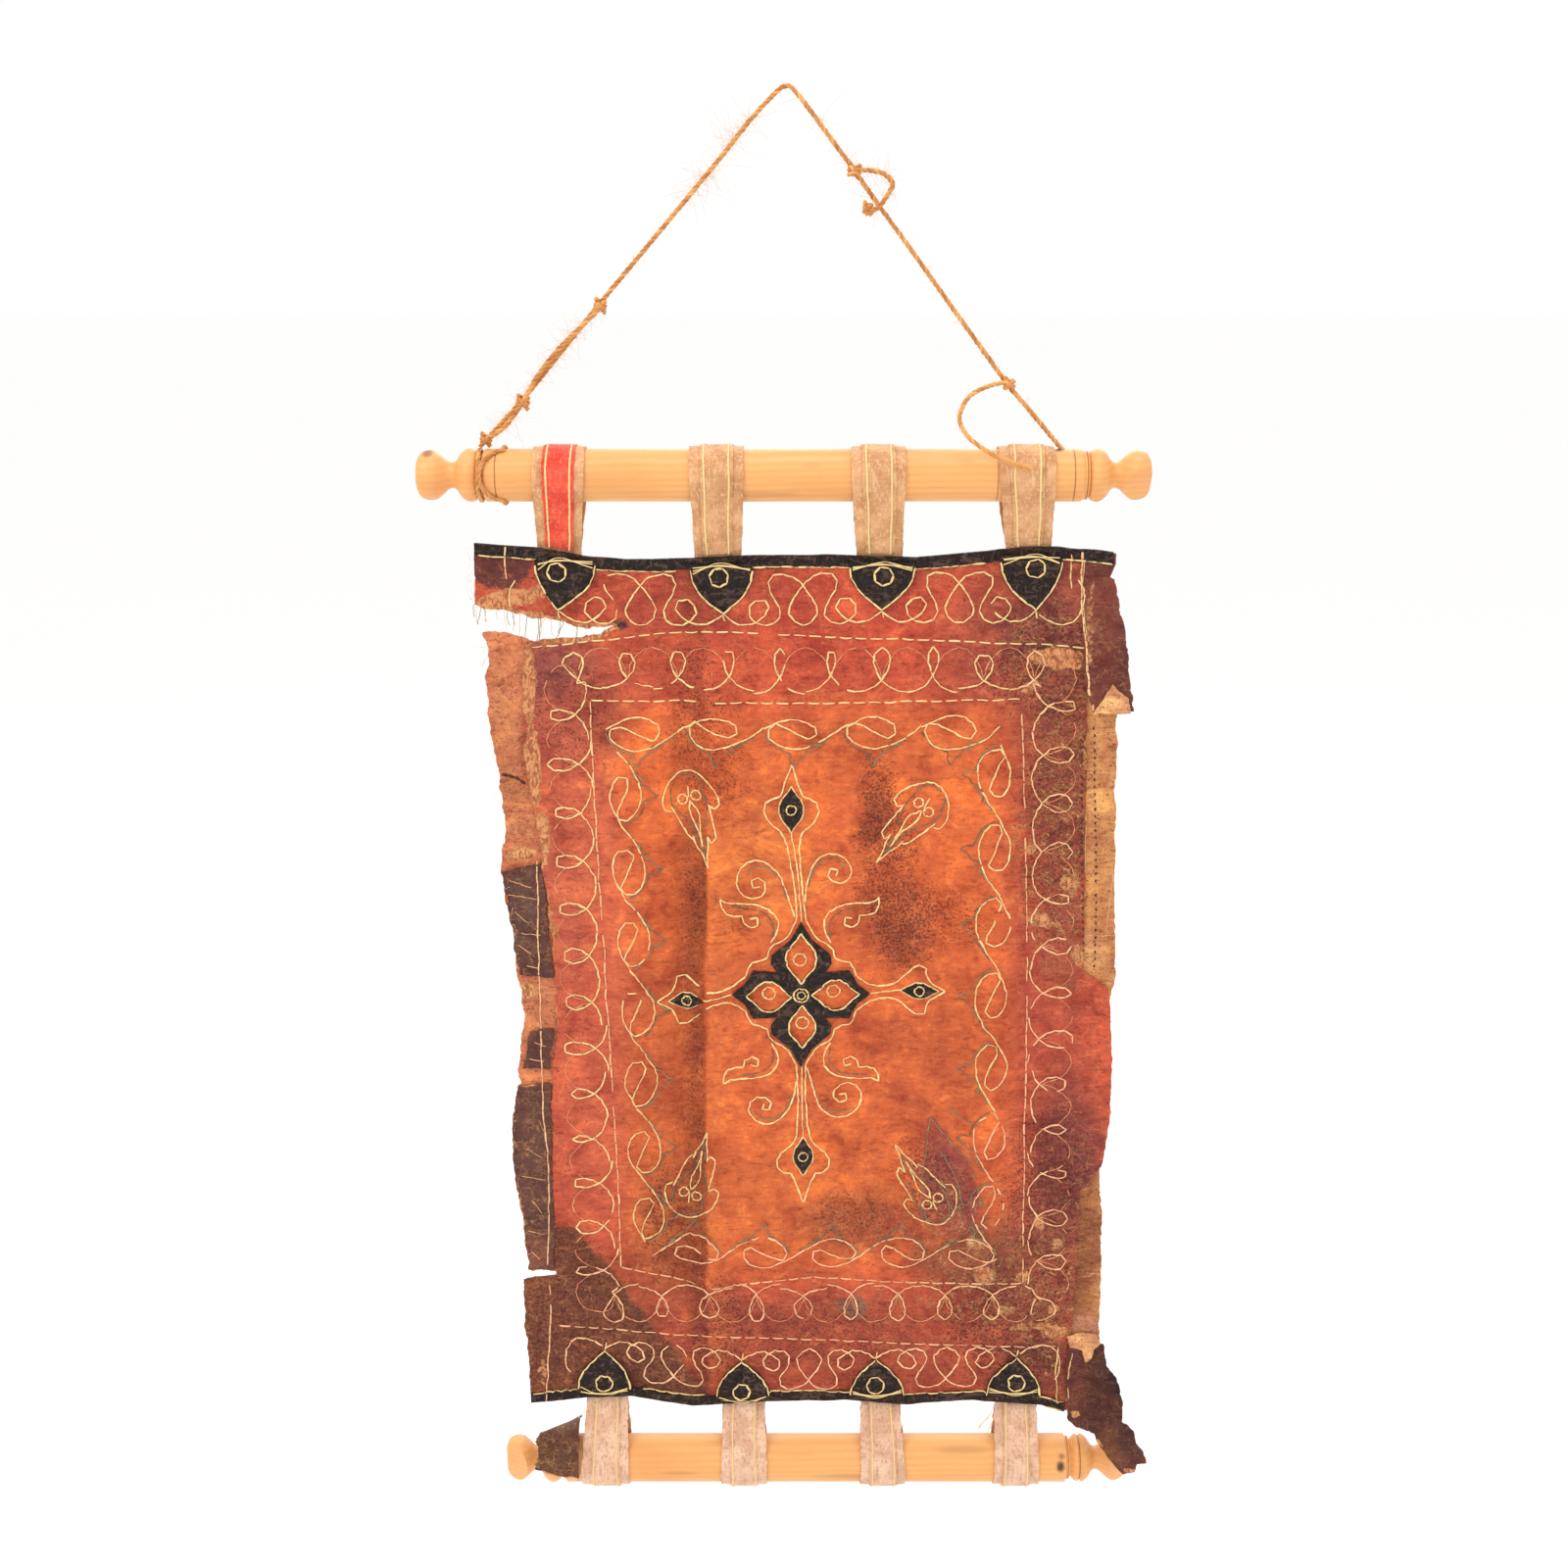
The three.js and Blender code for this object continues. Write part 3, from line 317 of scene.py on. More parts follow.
class Finish:
    """A principled material built from nodes in the object's own coordinates."""

    def __init__(self, name, **sockets):
        self.material = bpy.data.materials.new(name)
        self.material.use_nodes = True
        self.tree = self.material.node_tree
        self.tree.nodes.clear()
        self.shader = self.node("ShaderNodeBsdfPrincipled")
        output = self.node("ShaderNodeOutputMaterial")
        self.tree.links.new(self.shader.outputs[0], output.inputs[0])
        self.place = self.node("ShaderNodeTexCoord").outputs["Object"]
        for socket, value in sockets.items():
            self.shader.inputs[socket.replace("_", " ")].default_value = value

    def node(self, kind):
        return self.tree.nodes.new(kind)

    def put(self, socket, value):
        if isinstance(value, bpy.types.NodeSocket):
            self.tree.links.new(value, socket)
        elif isinstance(value, (tuple, np.ndarray)):
            socket.default_value = (*value, 1.0)
        else:
            socket.default_value = value

    def scaled(self, stretch):
        if stretch == (1, 1, 1):
            return self.place
        mapping = self.node("ShaderNodeMapping")
        self.tree.links.new(self.place, mapping.inputs["Vector"])
        mapping.inputs["Scale"].default_value = stretch
        return mapping.outputs[0]

    def noise(self, size, detail=4, stretch=(1, 1, 1), twist=0.0, harsh=0.55):
        node = self.node("ShaderNodeTexNoise")
        self.tree.links.new(self.scaled(stretch), node.inputs["Vector"])
        node.inputs["Scale"].default_value = 1000 / size
        node.inputs["Detail"].default_value = detail
        node.inputs["Roughness"].default_value = harsh
        node.inputs["Distortion"].default_value = twist
        return node.outputs["Fac"]

    def cracks(self, size, width, stretch=(1, 1, 1)):
        """1 on the lines between irregular cells, 0 inside them."""
        node = self.node("ShaderNodeTexVoronoi")
        node.feature = "DISTANCE_TO_EDGE"
        warp = self.node("ShaderNodeTexNoise")
        warp.inputs["Scale"].default_value = 1000 / size * 0.7
        self.tree.links.new(self.scaled(stretch), warp.inputs["Vector"])
        add = self.node("ShaderNodeMixRGB")
        add.blend_type = "LINEAR_LIGHT"
        add.inputs["Fac"].default_value = size * 0.0009
        self.tree.links.new(self.scaled(stretch), add.inputs["Color1"])
        self.tree.links.new(warp.outputs["Color"], add.inputs["Color2"])
        self.tree.links.new(add.outputs[0], node.inputs["Vector"])
        node.inputs["Scale"].default_value = 1000 / size
        return self.fit(node.outputs["Distance"], width, 0.0)

    def fit(self, value, low, high, to_low=0.0, to_high=1.0):
        node = self.node("ShaderNodeMapRange")
        node.interpolation_type = "SMOOTHSTEP" if low < high else "LINEAR"
        limits = {"From Min": low, "From Max": high, "To Min": to_low, "To Max": to_high}
        for name, setting in limits.items():
            node.inputs[name].default_value = setting
        self.put(node.inputs["Value"], value)
        return node.outputs[0]

    def math(self, operation, a, b):
        node = self.node("ShaderNodeMath")
        node.operation = operation
        self.put(node.inputs[0], a)
        self.put(node.inputs[1], b)
        return node.outputs[0]

    def mix(self, factor, a, b, blend="MIX"):
        node = self.node("ShaderNodeMixRGB")
        node.blend_type = blend
        self.put(node.inputs["Fac"], factor)
        self.put(node.inputs["Color1"], a)
        self.put(node.inputs["Color2"], b)
        return node.outputs[0]

    def attribute(self, name):
        node = self.node("ShaderNodeAttribute")
        node.attribute_name = name
        return node

    def paint(self, colour=None, roughness=None):
        if colour is not None:
            self.put(self.shader.inputs["Base Color"], colour)
        if roughness is not None:
            self.put(self.shader.inputs["Roughness"], roughness)

    def bump(self, *layers):
        """Each layer is a height and its depth in mm."""
        normal = None
        for height, depth in layers:
            node = self.node("ShaderNodeBump")
            node.inputs["Distance"].default_value = depth * MM
            self.put(node.inputs["Height"], height)
            if normal is not None:
                self.tree.links.new(normal, node.inputs["Normal"])
            normal = node.outputs[0]
        self.tree.links.new(normal, self.shader.inputs["Normal"])
        return self.material


def painted_leather(name, scuff_and_highlight, peel_colour):
    """Old dyed leather. The colour comes from the piece's own tint, and noise wears it. The wrinkles carry
    painted highlight on their ridges and painted shade in their creases, and the rim round bare patches is
    partly painted highlight.
    """
    f = Finish(name, Specular_IOR_Level=0.28)
    tint = f.attribute("tint").outputs["Color"]
    soot = f.attribute("soot").outputs["Fac"]
    cloud = f.noise(40, 6, harsh=0.68)
    blotch = f.noise(15, 6, (0.75, 1, 1), 0.9, 0.68)
    wrinkle = f.noise(3.6, 5, (0.28, 1, 1), 0.8, 0.66)
    fibre = f.noise(2.2, 5, (0.7, 1, 1), 0.4, 0.75)
    grain = f.noise(0.9, 2)

    def shaded(base, *rgb):
        return f.mix(1.0, base, rgb, "MULTIPLY")

    colour = f.mix(f.fit(cloud, 0.5, 0.66), tint, shaded(tint, 1.35, 1.5, 1.25))
    colour = f.mix(f.fit(cloud, 0.5, 0.34), colour, shaded(tint, 0.68, 0.48, 0.46))
    colour = f.mix(f.fit(blotch, 0.53, 0.68, 0, 0.8), colour, shaded(colour, 1.4, 1.7, 1.45))
    colour = f.mix(f.fit(blotch, 0.47, 0.32, 0, 0.75), colour, shaded(colour, 0.58, 0.4, 0.38))
    # Scuff colour on the wrinkles' ridges, partly rubbed wear and partly painted highlight; the next line
    # darkens the wrinkles' creases with painted shade.
    colour = f.mix(f.fit(wrinkle, 0.57, 0.74, 0, 0.6), colour, linear(scuff_and_highlight))
    colour = f.mix(f.fit(wrinkle, 0.46, 0.28, 0, 0.75), colour, shaded(colour, 0.4, 0.26, 0.26))
    colour = f.mix(f.fit(fibre, 0.56, 0.74, 0, 0.5), colour, linear(scuff_and_highlight))
    dirt = f.math("ADD", f.noise(1.9, 4, harsh=0.7), f.math("MULTIPLY", soot, 0.17))
    colour = f.mix(f.fit(dirt, 0.63, 0.7, 0, 0.75), colour, linear((66, 20, 12)))
    veins = f.math("MULTIPLY", f.cracks(19, 0.022, (0.8, 1, 1)), f.fit(blotch, 0.42, 0.6))
    colour = f.mix(f.math("MULTIPLY", veins, 0.5), colour, linear(scuff_and_highlight))
    craze = f.attribute("craze").outputs["Fac"]
    lines = f.cracks(8, 0.05)
    fine = f.cracks(3.4, 0.07, (0.5, 1, 1))
    broken = f.fit(f.noise(9, 4), 0.44, 0.56)
    net = f.math("MULTIPLY", f.math("MAXIMUM", lines, f.math("MULTIPLY", fine, 0.8)), broken)
    net = f.math("MULTIPLY", net, craze)
    colour = f.mix(net, colour, linear((220, 156, 100)))
    peel = f.attribute("peel").outputs["Fac"]
    flakes = f.math("SUBTRACT", f.noise(6, 6, harsh=0.7), 0.5)
    edge = f.math("ADD", peel, f.math("MULTIPLY", flakes, 1.7))
    bare = f.fit(edge, 0.5, 0.56)
    nap = f.fit(f.noise(3, 5, (1, 1, 0.5), 1.0), 0.4, 0.62)
    suede = f.mix(nap, linear(peel_colour), linear((158, 86, 48)))
    # A pale rim round each bare patch: partly the torn edge of the finish, partly painted highlight on the
    # edge of a lifted bit.
    rim = f.math("MULTIPLY", f.fit(edge, 0.44, 0.5), f.fit(edge, 0.62, 0.54))
    colour = f.mix(bare, colour, suede)
    colour = f.mix(f.math("MULTIPLY", rim, 0.7), colour, linear((240, 176, 112)))
    f.paint(colour, f.fit(blotch, 0.3, 0.7, 0.62, 0.4))
    return f.bump(
        (grain, 0.2), (fibre, 0.5), (wrinkle, 1.5), (f.noise(13, 3, (0.5, 1, 1)), 3.0),
        (f.math("MULTIPLY", net, -1.0), 0.8), (f.math("MULTIPLY", bare, -1.0), 0.9))


def black_leather():
    f = Finish("black_leather", Specular_IOR_Level=0.3)
    crease = f.noise(10, 4, (1, 1, 0.7), 1.4, 0.6)
    ridge = f.noise(5, 5, (1.2, 1, 0.6), 2.2, 0.62)
    glint = f.noise(12, 3, (0.7, 1, 1.7), 1.9, 0.5)
    colour = f.mix(f.noise(16, 3), linear((16, 8, 7)), linear((40, 22, 17)))
    # Painted highlights: pale streaks along the glint noise and on the ridges. Painted shade: near black in
    # the creases. The same noises also shape the bump.
    colour = f.mix(f.fit(glint, 0.53, 0.6, 0, 0.7), colour, linear((94, 68, 56)))
    colour = f.mix(f.fit(ridge, 0.56, 0.66, 0, 0.6), colour, linear((124, 92, 76)))
    colour = f.mix(f.fit(crease, 0.46, 0.4, 0, 0.7), colour, linear((8, 4, 4)))
    colour = f.mix(f.fit(f.noise(3, 4), 0.58, 0.7, 0, 0.55), colour, linear((104, 52, 34)))
    f.paint(colour, f.fit(ridge, 0.3, 0.7, 0.55, 0.3))
    return f.bump((f.noise(1.0, 2), 0.15), (crease, 4.0), (glint, 4.0), (ridge, 2.2))


def worn_cloth(name, dark, light, streak, weave=0.8):
    """Thin split leather of the straps, with cross lines and rubbed streaks."""
    f = Finish(name, Specular_IOR_Level=0.25, Sheen_Weight=0.15, Sheen_Roughness=0.5)
    cross = f.noise(weave, 2, (0.12, 0.12, 1))
    along = f.noise(1.6, 3, (1, 1, 0.08))
    cloud = f.noise(14, 5)
    colour = f.mix(f.fit(cloud, 0.35, 0.65), linear(dark), linear(light))
    colour = f.mix(f.fit(cross, 0.5, 0.75, 0, 0.4), colour, linear(streak))
    colour = f.mix(f.fit(along, 0.5, 0.68, 0, 0.6), colour, linear(streak))
    worn = f.mix(1.0, colour, linear((186, 160, 148)), "MULTIPLY")
    colour = f.mix(f.fit(f.noise(6, 4, (1, 1, 0.3)), 0.6, 0.74, 0, 0.4), colour, worn)
    f.paint(colour, f.fit(cloud, 0.3, 0.7, 0.82, 0.68))
    return f.bump((cross, 0.25), (along, 0.7), (f.noise(6, 4, (1, 1, 2.2)), 1.0))


def pine():
    """Turned softwood: rings round a tilted core, so that a slanted cut shows its grain."""
    f = Finish("pine_wood", Specular_IOR_Level=0.5, Coat_Weight=0.12, Coat_Roughness=0.35)
    core = f.node("ShaderNodeMapping")
    f.tree.links.new(f.place, core.inputs["Vector"])
    core.inputs["Location"].default_value = (0, 0.055, 0.02)
    core.inputs["Rotation"].default_value = (0, 0.012, 0.03)
    wave = f.node("ShaderNodeTexWave")
    wave.wave_type = "RINGS"
    wave.rings_direction = "X"
    wave.inputs["Scale"].default_value = 62
    wave.inputs["Distortion"].default_value = 2.2
    wave.inputs["Detail"].default_value = 3
    wave.inputs["Detail Scale"].default_value = 0.35
    f.tree.links.new(core.outputs[0], wave.inputs["Vector"])
    long_grain = f.noise(2.4, 4, (0.035, 1, 1), 0.3)
    pores = f.noise(0.9, 3, (0.05, 1, 1))
    cloud = f.noise(55, 4, (0.4, 1, 1))
    rings = f.fit(wave.outputs["Fac"], 0.2, 0.9, 0, 0.34)
    colour = f.mix(rings, linear((234, 170, 100)), linear((222, 148, 78)))
    colour = f.mix(f.fit(long_grain, 0.5, 0.8, 0, 0.3), colour, linear((212, 140, 74)))
    colour = f.mix(f.fit(cloud, 0.46, 0.7, 0, 0.55), colour, linear((222, 146, 80)))
    colour = f.mix(f.fit(pores, 0.6, 0.8, 0, 0.3), colour, linear((150, 90, 45)))
    mark = f.attribute("mark").outputs["Fac"]
    colour = f.mix(mark, colour, linear((78, 34, 16)))
    f.paint(colour, f.fit(cloud, 0.3, 0.7, 0.4, 0.55))
    return f.bump((pores, 0.08), (long_grain, 0.12), (f.noise(26, 3), 0.3))


def twine(name, dark, light):
    f = Finish(name, Specular_IOR_Level=0.2, Roughness=0.85, Sheen_Weight=0.2)
    shade = f.attribute("shade").outputs["Fac"]
    colour = f.mix(shade, linear(dark), linear(light))
    colour = f.mix(f.fit(f.noise(1.2, 3), 0.5, 0.8, 0, 0.5), colour, linear(light))
    f.paint(colour)
    return f.bump((f.noise(0.6, 3), 0.25))


def thread(name, dark, light):
    f = Finish(name, Specular_IOR_Level=0.3, Roughness=0.7, Sheen_Weight=0.2)
    shade = f.attribute("shade").outputs["Fac"]
    colour = f.mix(shade, linear(dark), linear(light))
    f.paint(colour)
    return f.bump((f.noise(0.7, 2), 0.12))


# Meshes

def make(name, verts, faces, material, replaces=(), attributes=None, sharp=40):
    """An object from vertices in mm, with one material and values held at its vertices."""
    mesh = bpy.data.meshes.new(name)
    places = (np.asarray(verts, float) * MM).tolist()
    mesh.from_pydata(places, [], [list(map(int, face)) for face in faces])
    mesh.polygons.foreach_set("use_smooth", [True] * len(mesh.polygons))
    mesh.set_sharp_from_angle(angle=math.radians(sharp))
    for key, values in (attributes or {}).items():
        values = np.asarray(values, np.float32)
        if values.ndim == 2:
            layer = mesh.attributes.new(key, "FLOAT_COLOR", "POINT")
            opaque = np.column_stack([values, np.ones(len(values))])
            layer.data.foreach_set("color", opaque.astype(np.float32).ravel())
        else:
            layer = mesh.attributes.new(key, "FLOAT", "POINT")
            layer.data.foreach_set("value", values)
    mesh.materials.append(material)
    obj = bpy.data.objects.new(name, mesh)
    bpy.context.scene.collection.objects.link(obj)
    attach(obj, BODY)
    if replaces:
        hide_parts(*replaces)
    return obj


class Pool:
    """Collects many small shapes into one mesh."""

    def __init__(self):
        self.verts, self.faces, self.shades, self.count = [], [], [], 0

    def add(self, shape, shade=0.5):
        verts, faces = shape
        self.verts.append(np.asarray(verts, float))
        self.faces += [[i + self.count for i in face] for face in faces]
        self.shades.append(np.full(len(verts), shade) if np.isscalar(shade) else shade)
        self.count += len(verts)

    def build(self, name, material, slot, replaces=(), sharp=60):
        return make(name, np.vstack(self.verts), self.faces, material, replaces,
                    {"shade": np.concatenate(self.shades)}, sharp)


def round_turn(sides):
    return np.linspace(0, 2 * math.pi, sides, endpoint=False)


def joined(rings, sides):
    """Faces that join neighbouring rings of points and close the two ends."""
    faces = []
    for i in range(rings - 1):
        for k in range(sides):
            a, b = i * sides + k, i * sides + (k + 1) % sides
            faces.append((a, b, b + sides, a + sides))
    last = (rings - 1) * sides
    faces.append(tuple(range(sides))[::-1])
    faces.append(tuple(range(last, last + sides)))
    return faces


def tube(line, radius, sides):
    """A tube round a 3-D line with its ends closed. The radius is a number or one for each point."""
    line = np.asarray(line, float)
    radius = np.broadcast_to(radius, len(line))
    along = np.gradient(line, axis=0)
    along /= np.linalg.norm(along, axis=1)[:, None] + 1e-9
    side = np.cross(along[0], (0, 1, 0.02))
    if np.linalg.norm(side) < 0.2:
        side = np.cross(along[0], (1, 0, 0))
    turn = round_turn(sides)
    verts = []
    for point, direction, r in zip(line, along, radius):
        side = side - direction * np.dot(side, direction)
        side /= np.linalg.norm(side)
        other = np.cross(direction, side)
        verts.append(point + r * (np.cos(turn)[:, None] * side + np.sin(turn)[:, None] * other))
    return np.vstack(verts), joined(len(line), sides)


# Camera, floor and lights

# Lamps: name, place in metres, size, power and colour
LAMPS = [
    ("key", (-1.3, -1.1, 1.0), 0.9, 15, (1, 0.98, 0.95)),
    ("fill", (1.6, -1.7, -0.5), 1.6, 3, (1, 0.97, 0.94)),
    ("top", (0.2, -0.3, 1.3), 1.0, 7, (1, 1, 1)),
    ("back", (0.4, 2.2, 0.6), 1.6, 18, (1, 1, 1)),
]
LAMPS_AIM_AT = (0, 0, -0.65)


def set_camera(scene):
    camera = bpy.data.objects.new("camera", bpy.data.cameras.new("camera"))
    camera.location = CAMERA_PLACE
    camera.rotation_euler = (CAMERA_TILT, 0, 0)
    camera.data.lens = CAMERA_LENS
    camera.data.sensor_width = CAMERA_SENSOR
    camera.data.clip_end = CAMERA_FAR
    scene.collection.objects.link(camera)
    scene.camera = camera


def lay_floor(scene):
    mesh = bpy.data.meshes.new("floor")
    corners = [(x * FLOOR_REACH, y * FLOOR_REACH, FLOOR_Z) for x, y in ((-1, -1), (1, -1), (1, 1), (-1, 1))]
    mesh.from_pydata(corners, [], [(0, 1, 2, 3)])
    pale = Finish("pale_floor", Roughness=0.9, Specular_IOR_Level=0.1)
    pale.paint(pale.mix(pale.noise(900, 2), (0.98, 0.98, 0.975), (0.97, 0.97, 0.97)))
    mesh.materials.append(pale.material)
    floor = bpy.data.objects.new("floor", mesh)
    scene.collection.objects.link(floor)


def set_light(scene):
    scene.view_settings.view_transform = "Standard"
    world = bpy.data.worlds.new("studio")
    scene.world = world
    world.use_nodes = True
    background = world.node_tree.nodes["Background"]
    background.inputs["Color"].default_value = (1.0, 0.995, 0.99, 1)
    background.inputs["Strength"].default_value = 1.02
    for name, place, size, power, colour in LAMPS:
        lamp = bpy.data.lights.new(name, "AREA")
        lamp.size = size
        lamp.energy = power
        lamp.color = colour
        obj = bpy.data.objects.new(name, lamp)
        obj.location = place
        aim = Vector(LAMPS_AIM_AT) - Vector(place)
        obj.rotation_euler = aim.to_track_quat("-Z", "Y").to_euler()
        scene.collection.objects.link(obj)


set_camera(bpy.context.scene)
lay_floor(bpy.context.scene)
set_light(bpy.context.scene)


# Cords: three strands laid round each route

STRAND_PITCH = 13
STRAND_RADIUS = 0.98
STRAND_OFFSET = 0.92
STRAND_SIDES = 7
CORD_STEP = 1.3


def add_rope(pool, line, phase=0.0, loose=0.0, seed=0):
    """Three strands round a line. loose opens them a little where the lay has worn."""
    rng = np.random.default_rng(seed)
    line = resample(line, CORD_STEP)
    run = np.arange(len(line)) * CORD_STEP
    along = np.gradient(line, axis=0)
    along /= np.linalg.norm(along, axis=1)[:, None]
    side = np.cross(along, (0.03, 1, 0.02))
    side /= np.linalg.norm(side, axis=1)[:, None]
    other = np.cross(along, side)
    wander = cell_noise(run, run * 0, 9, 40 + seed)
    for strand in range(3):
        turn = run / STRAND_PITCH * 2 * math.pi + strand * 2.094 + phase + 0.5 * wander
        out = STRAND_OFFSET + loose * np.abs(cell_noise(run, run * 0 + strand * 7, 14, 60 + seed))
        centre = line + out[:, None] * (np.cos(turn)[:, None] * side + np.sin(turn)[:, None] * other)
        thick = STRAND_RADIUS * (1 + 0.12 * cell_noise(run, run * 0 + 3 * strand, 4, 80 + seed))
        tones = 0.5 + 0.4 * cell_noise(run, run * 0 + 5 * strand, 6, 90 + seed)
        shade = np.repeat(tones, STRAND_SIDES) + rng.uniform(-0.1, 0.1)
        pool.add(tube(centre, thick, STRAND_SIDES), shade)


def cord_piece(name, route, phase, seed, node, loose):
    pool = Pool()
    line = smooth_line(route, CORD_STEP)
    add_rope(pool, line, phase, loose, seed)
    return pool.build(name, TWINE, "twine", (node,), 70), line


def hairs(pool, line, count, reach, seed, spread=1.0, thick=0.13):
    """Loose fibres standing off a line."""
    rng = np.random.default_rng(seed)
    for _ in range(count):
        start = line[rng.integers(len(line))] + rng.normal(0, 0.8, 3)
        heading = rng.normal(0, 1, 3) * (1, 0.45, 1)
        heading /= np.linalg.norm(heading) + 1e-6
        bend = rng.normal(0, 0.5, 3) * (1, 0.5, 1) * spread
        size = reach * rng.uniform(0.35, 1.0)
        t = np.linspace(0, 1, 6)[:, None]
        points = start + size * (heading * t + bend * t * t + rng.normal(0, 0.05, (6, 3)) * t)
        pool.add(tube(points, thick * (1 - 0.7 * t[:, 0]), 3), rng.uniform(0.3, 1))


TWINE = twine("jute_twine", (172, 96, 40), (240, 182, 108))


# Knots: place, size and seed
KNOTS = [
    ((-139, -2, -158), 3.9, 7), ((-199, -2, -229), 4.2, 8), ((50, -2, -61), 4.4, 9),
    ((60, -6, -88), 3.0, 10), ((168, -2, -216), 3.6, 11), ((-228, -2, -257), 3.4, 12),
]


def make_winding():
    """One plain turn in the rod's groove and one that crosses over to the knob's side."""
    turn = np.linspace(0, 2 * math.pi, 120)
    plain = np.stack([
        GROOVE_X + 0.4 * np.sin(3 * turn),
        TURN_RADIUS * np.cos(turn),
        TOP_ROD["z"] + TURN_RADIUS * np.sin(turn)], axis=1)
    winding = Pool()
    add_rope(winding, plain, 0.3, 0.1, 5)
    slant = np.linspace(-0.9, 1.9, 150)
    angle = math.radians(112) + slant * math.radians(128)
    across = np.sin(np.clip(slant, 0, 1) * math.pi) ** 0.7
    reach = 21.2 + 0.7 * across
    crossing = np.stack([
        GROOVE_X + 1.5 + 17 * (1 - across),
        reach * np.cos(angle),
        TOP_ROD["z"] + reach * np.sin(angle)], axis=1)
    add_rope(winding, crossing, 1.3, 0.0, 6)
    winding.build("cord_winding", TWINE, "twine", ("cord_turns",), 70)


def make_knots():
    """Each knot is two bights wrapped round the cord at different tilts."""
    knots = Pool()
    for (x, y, z), size, seed in KNOTS:
        bight = np.linspace(0, 2 * math.pi * 1.6, 40)
        for tilt in (0.5, -0.7):
            wrap = np.stack([
                x + size * np.cos(bight) * math.cos(tilt),
                y + size * 0.85 * np.sin(bight),
                z + size * np.cos(bight) * math.sin(tilt) + bight * 0.5 - 2.4], axis=1)
            add_rope(knots, wrap, tilt, 0.1, seed)
    return knots.build("cord_knots", TWINE, "twine", (), 70)


def make_cords():
    main, main_line = cord_piece("cord_main_twine", CORD_MAIN, 0, 1, "cord_main", 0.15)
    tail, tail_line = cord_piece("cord_tail_twine", CORD_TAIL, 1, 2, "cord_tail_left", 0.3)
    knot_loop, knot_line = cord_piece("cord_knot_loop_twine", KNOT_LOOP, 2, 3, "cord_knot_loop", 0.3)
    loose, loose_line = cord_piece("cord_loose_loop_twine", LOOSE_LOOP, 0.5, 4, "cord_loop_right", 0.1)
    make_winding()
    knots = make_knots()

    fuzz = Pool()
    hairs(fuzz, main_line, 520, 7, 21)
    main_x = main_line[:, 0]
    hairs(fuzz, main_line[(main_x > -75) & (main_x < -22)], 150, 17, 22, 1.4)
    hairs(fuzz, main_line[(main_x > -232) & (main_x < -150)], 170, 12, 23, 1.2)
    hairs(fuzz, tail_line, 120, 11, 24, 1.2)
    hairs(fuzz, knot_line, 90, 12, 25, 1.2)
    hairs(fuzz, loose_line, 60, 6, 26)
    hairs(fuzz, main_line[(main_x > 20) & (main_x < 70)], 50, 13, 27, 1.3)
    fuzz.build("cord_fibres", TWINE, "twine")


make_cords()


# Leather sheets: a ragged outline filled with a fine grid, front and back a thickness apart

def no_lift(x, z):
    return 0 * x


def even_edge(reach):
    return lambda x, z: reach + 0 * x


def ragged(outline, step, reach, seed):
    """The outline as points every step mm, pushed in and out by up to reach(x, z)."""
    ring = np.array([*outline, outline[0]], float)
    line = np.vstack([resample(ring[i:i + 2], step)[:-1] for i in range(len(outline))])
    along = np.roll(line, -1, axis=0) - np.roll(line, 1, axis=0)
    normal = np.stack([-along[:, 1], along[:, 0]], axis=1)
    normal /= np.linalg.norm(normal, axis=1)[:, None] + 1e-9
    x, z = line.T
    push = 0.9 * cell_noise(x, z, 13, seed) + 0.6 * cell_noise(x, z, 5, seed + 1)
    push = push + 0.45 * cell_noise(x, z, 2.1, seed + 2)
    return line + normal * (reach(x, z) * push)[:, None]


def crossings(border, x):
    """Where an upright line at x crosses a border, as a list of z."""
    after = np.roll(border, -1, axis=0)
    hit = (border[:, 0] > x) != (after[:, 0] > x)
    a, b = border[hit], after[hit]
    return a[:, 1] + (x - a[:, 0]) * (b[:, 1] - a[:, 1]) / (b[:, 0] - a[:, 0])


def within(point, border):
    return bool((crossings(border, point[0]) > point[1]).sum() % 2)


# Spacing between the columns of points inside a sheet, and their least distance to its edge
COLUMN_SHARE = 0.87
EDGE_SHARE = 0.55


def filled(border, spacing, seed):
    """Points inside a border and the triangles that join them all."""
    rng = np.random.default_rng(seed)
    zs = np.arange(border[:, 1].min(), border[:, 1].max(), spacing)
    xs = np.arange(border[:, 0].min() + spacing / 2, border[:, 0].max(), spacing * COLUMN_SHARE)
    inside = []
    for column, x in enumerate(xs):
        heights = np.sort(crossings(border, x))
        rows = zs + (column % 2) * spacing / 2
        for low, high in zip(heights[::2], heights[1::2]):
            kept = rows[(rows > low + 0.5 * spacing) & (rows < high - 0.5 * spacing)]
            inside += [(x, z) for z in kept]
    tree = kdtree.KDTree(len(border))
    for i, (x, z) in enumerate(border):
        tree.insert((x, z, 0), i)
    tree.balance()
    inside = [p for p in inside if tree.find((*p, 0))[2] > EDGE_SHARE * spacing]
    grid = np.array(inside).reshape(-1, 2) + rng.uniform(-0.12, 0.12, (len(inside), 2)) * spacing
    everything = [Vector(p) for p in np.vstack([border, grid])]
    loop = list(range(len(border)))
    points, _, faces, _, _, _ = geometry.delaunay_2d_cdt(everything, [], [loop], 1, 1e-5)
    return np.array([tuple(p) for p in points]), faces


def two_sided(points, triangles, front, back):
    """A closed sheet: its triangles at the front's y and at the back's, and walls along its rims."""
    x, z = points.T
    verts = np.vstack([np.stack([x, front, z], axis=1), np.stack([x, back, z], axis=1)])
    count = len(points)
    faces = [tuple(t) for t in triangles] + [tuple(i + count for i in t[::-1]) for t in triangles]
    edges = {(t[k], t[(k + 1) % 3]) for t in triangles for k in range(3)}
    faces += [(b, a, a + count, b + count) for a, b in edges if (b, a) not in edges]
    return verts, faces


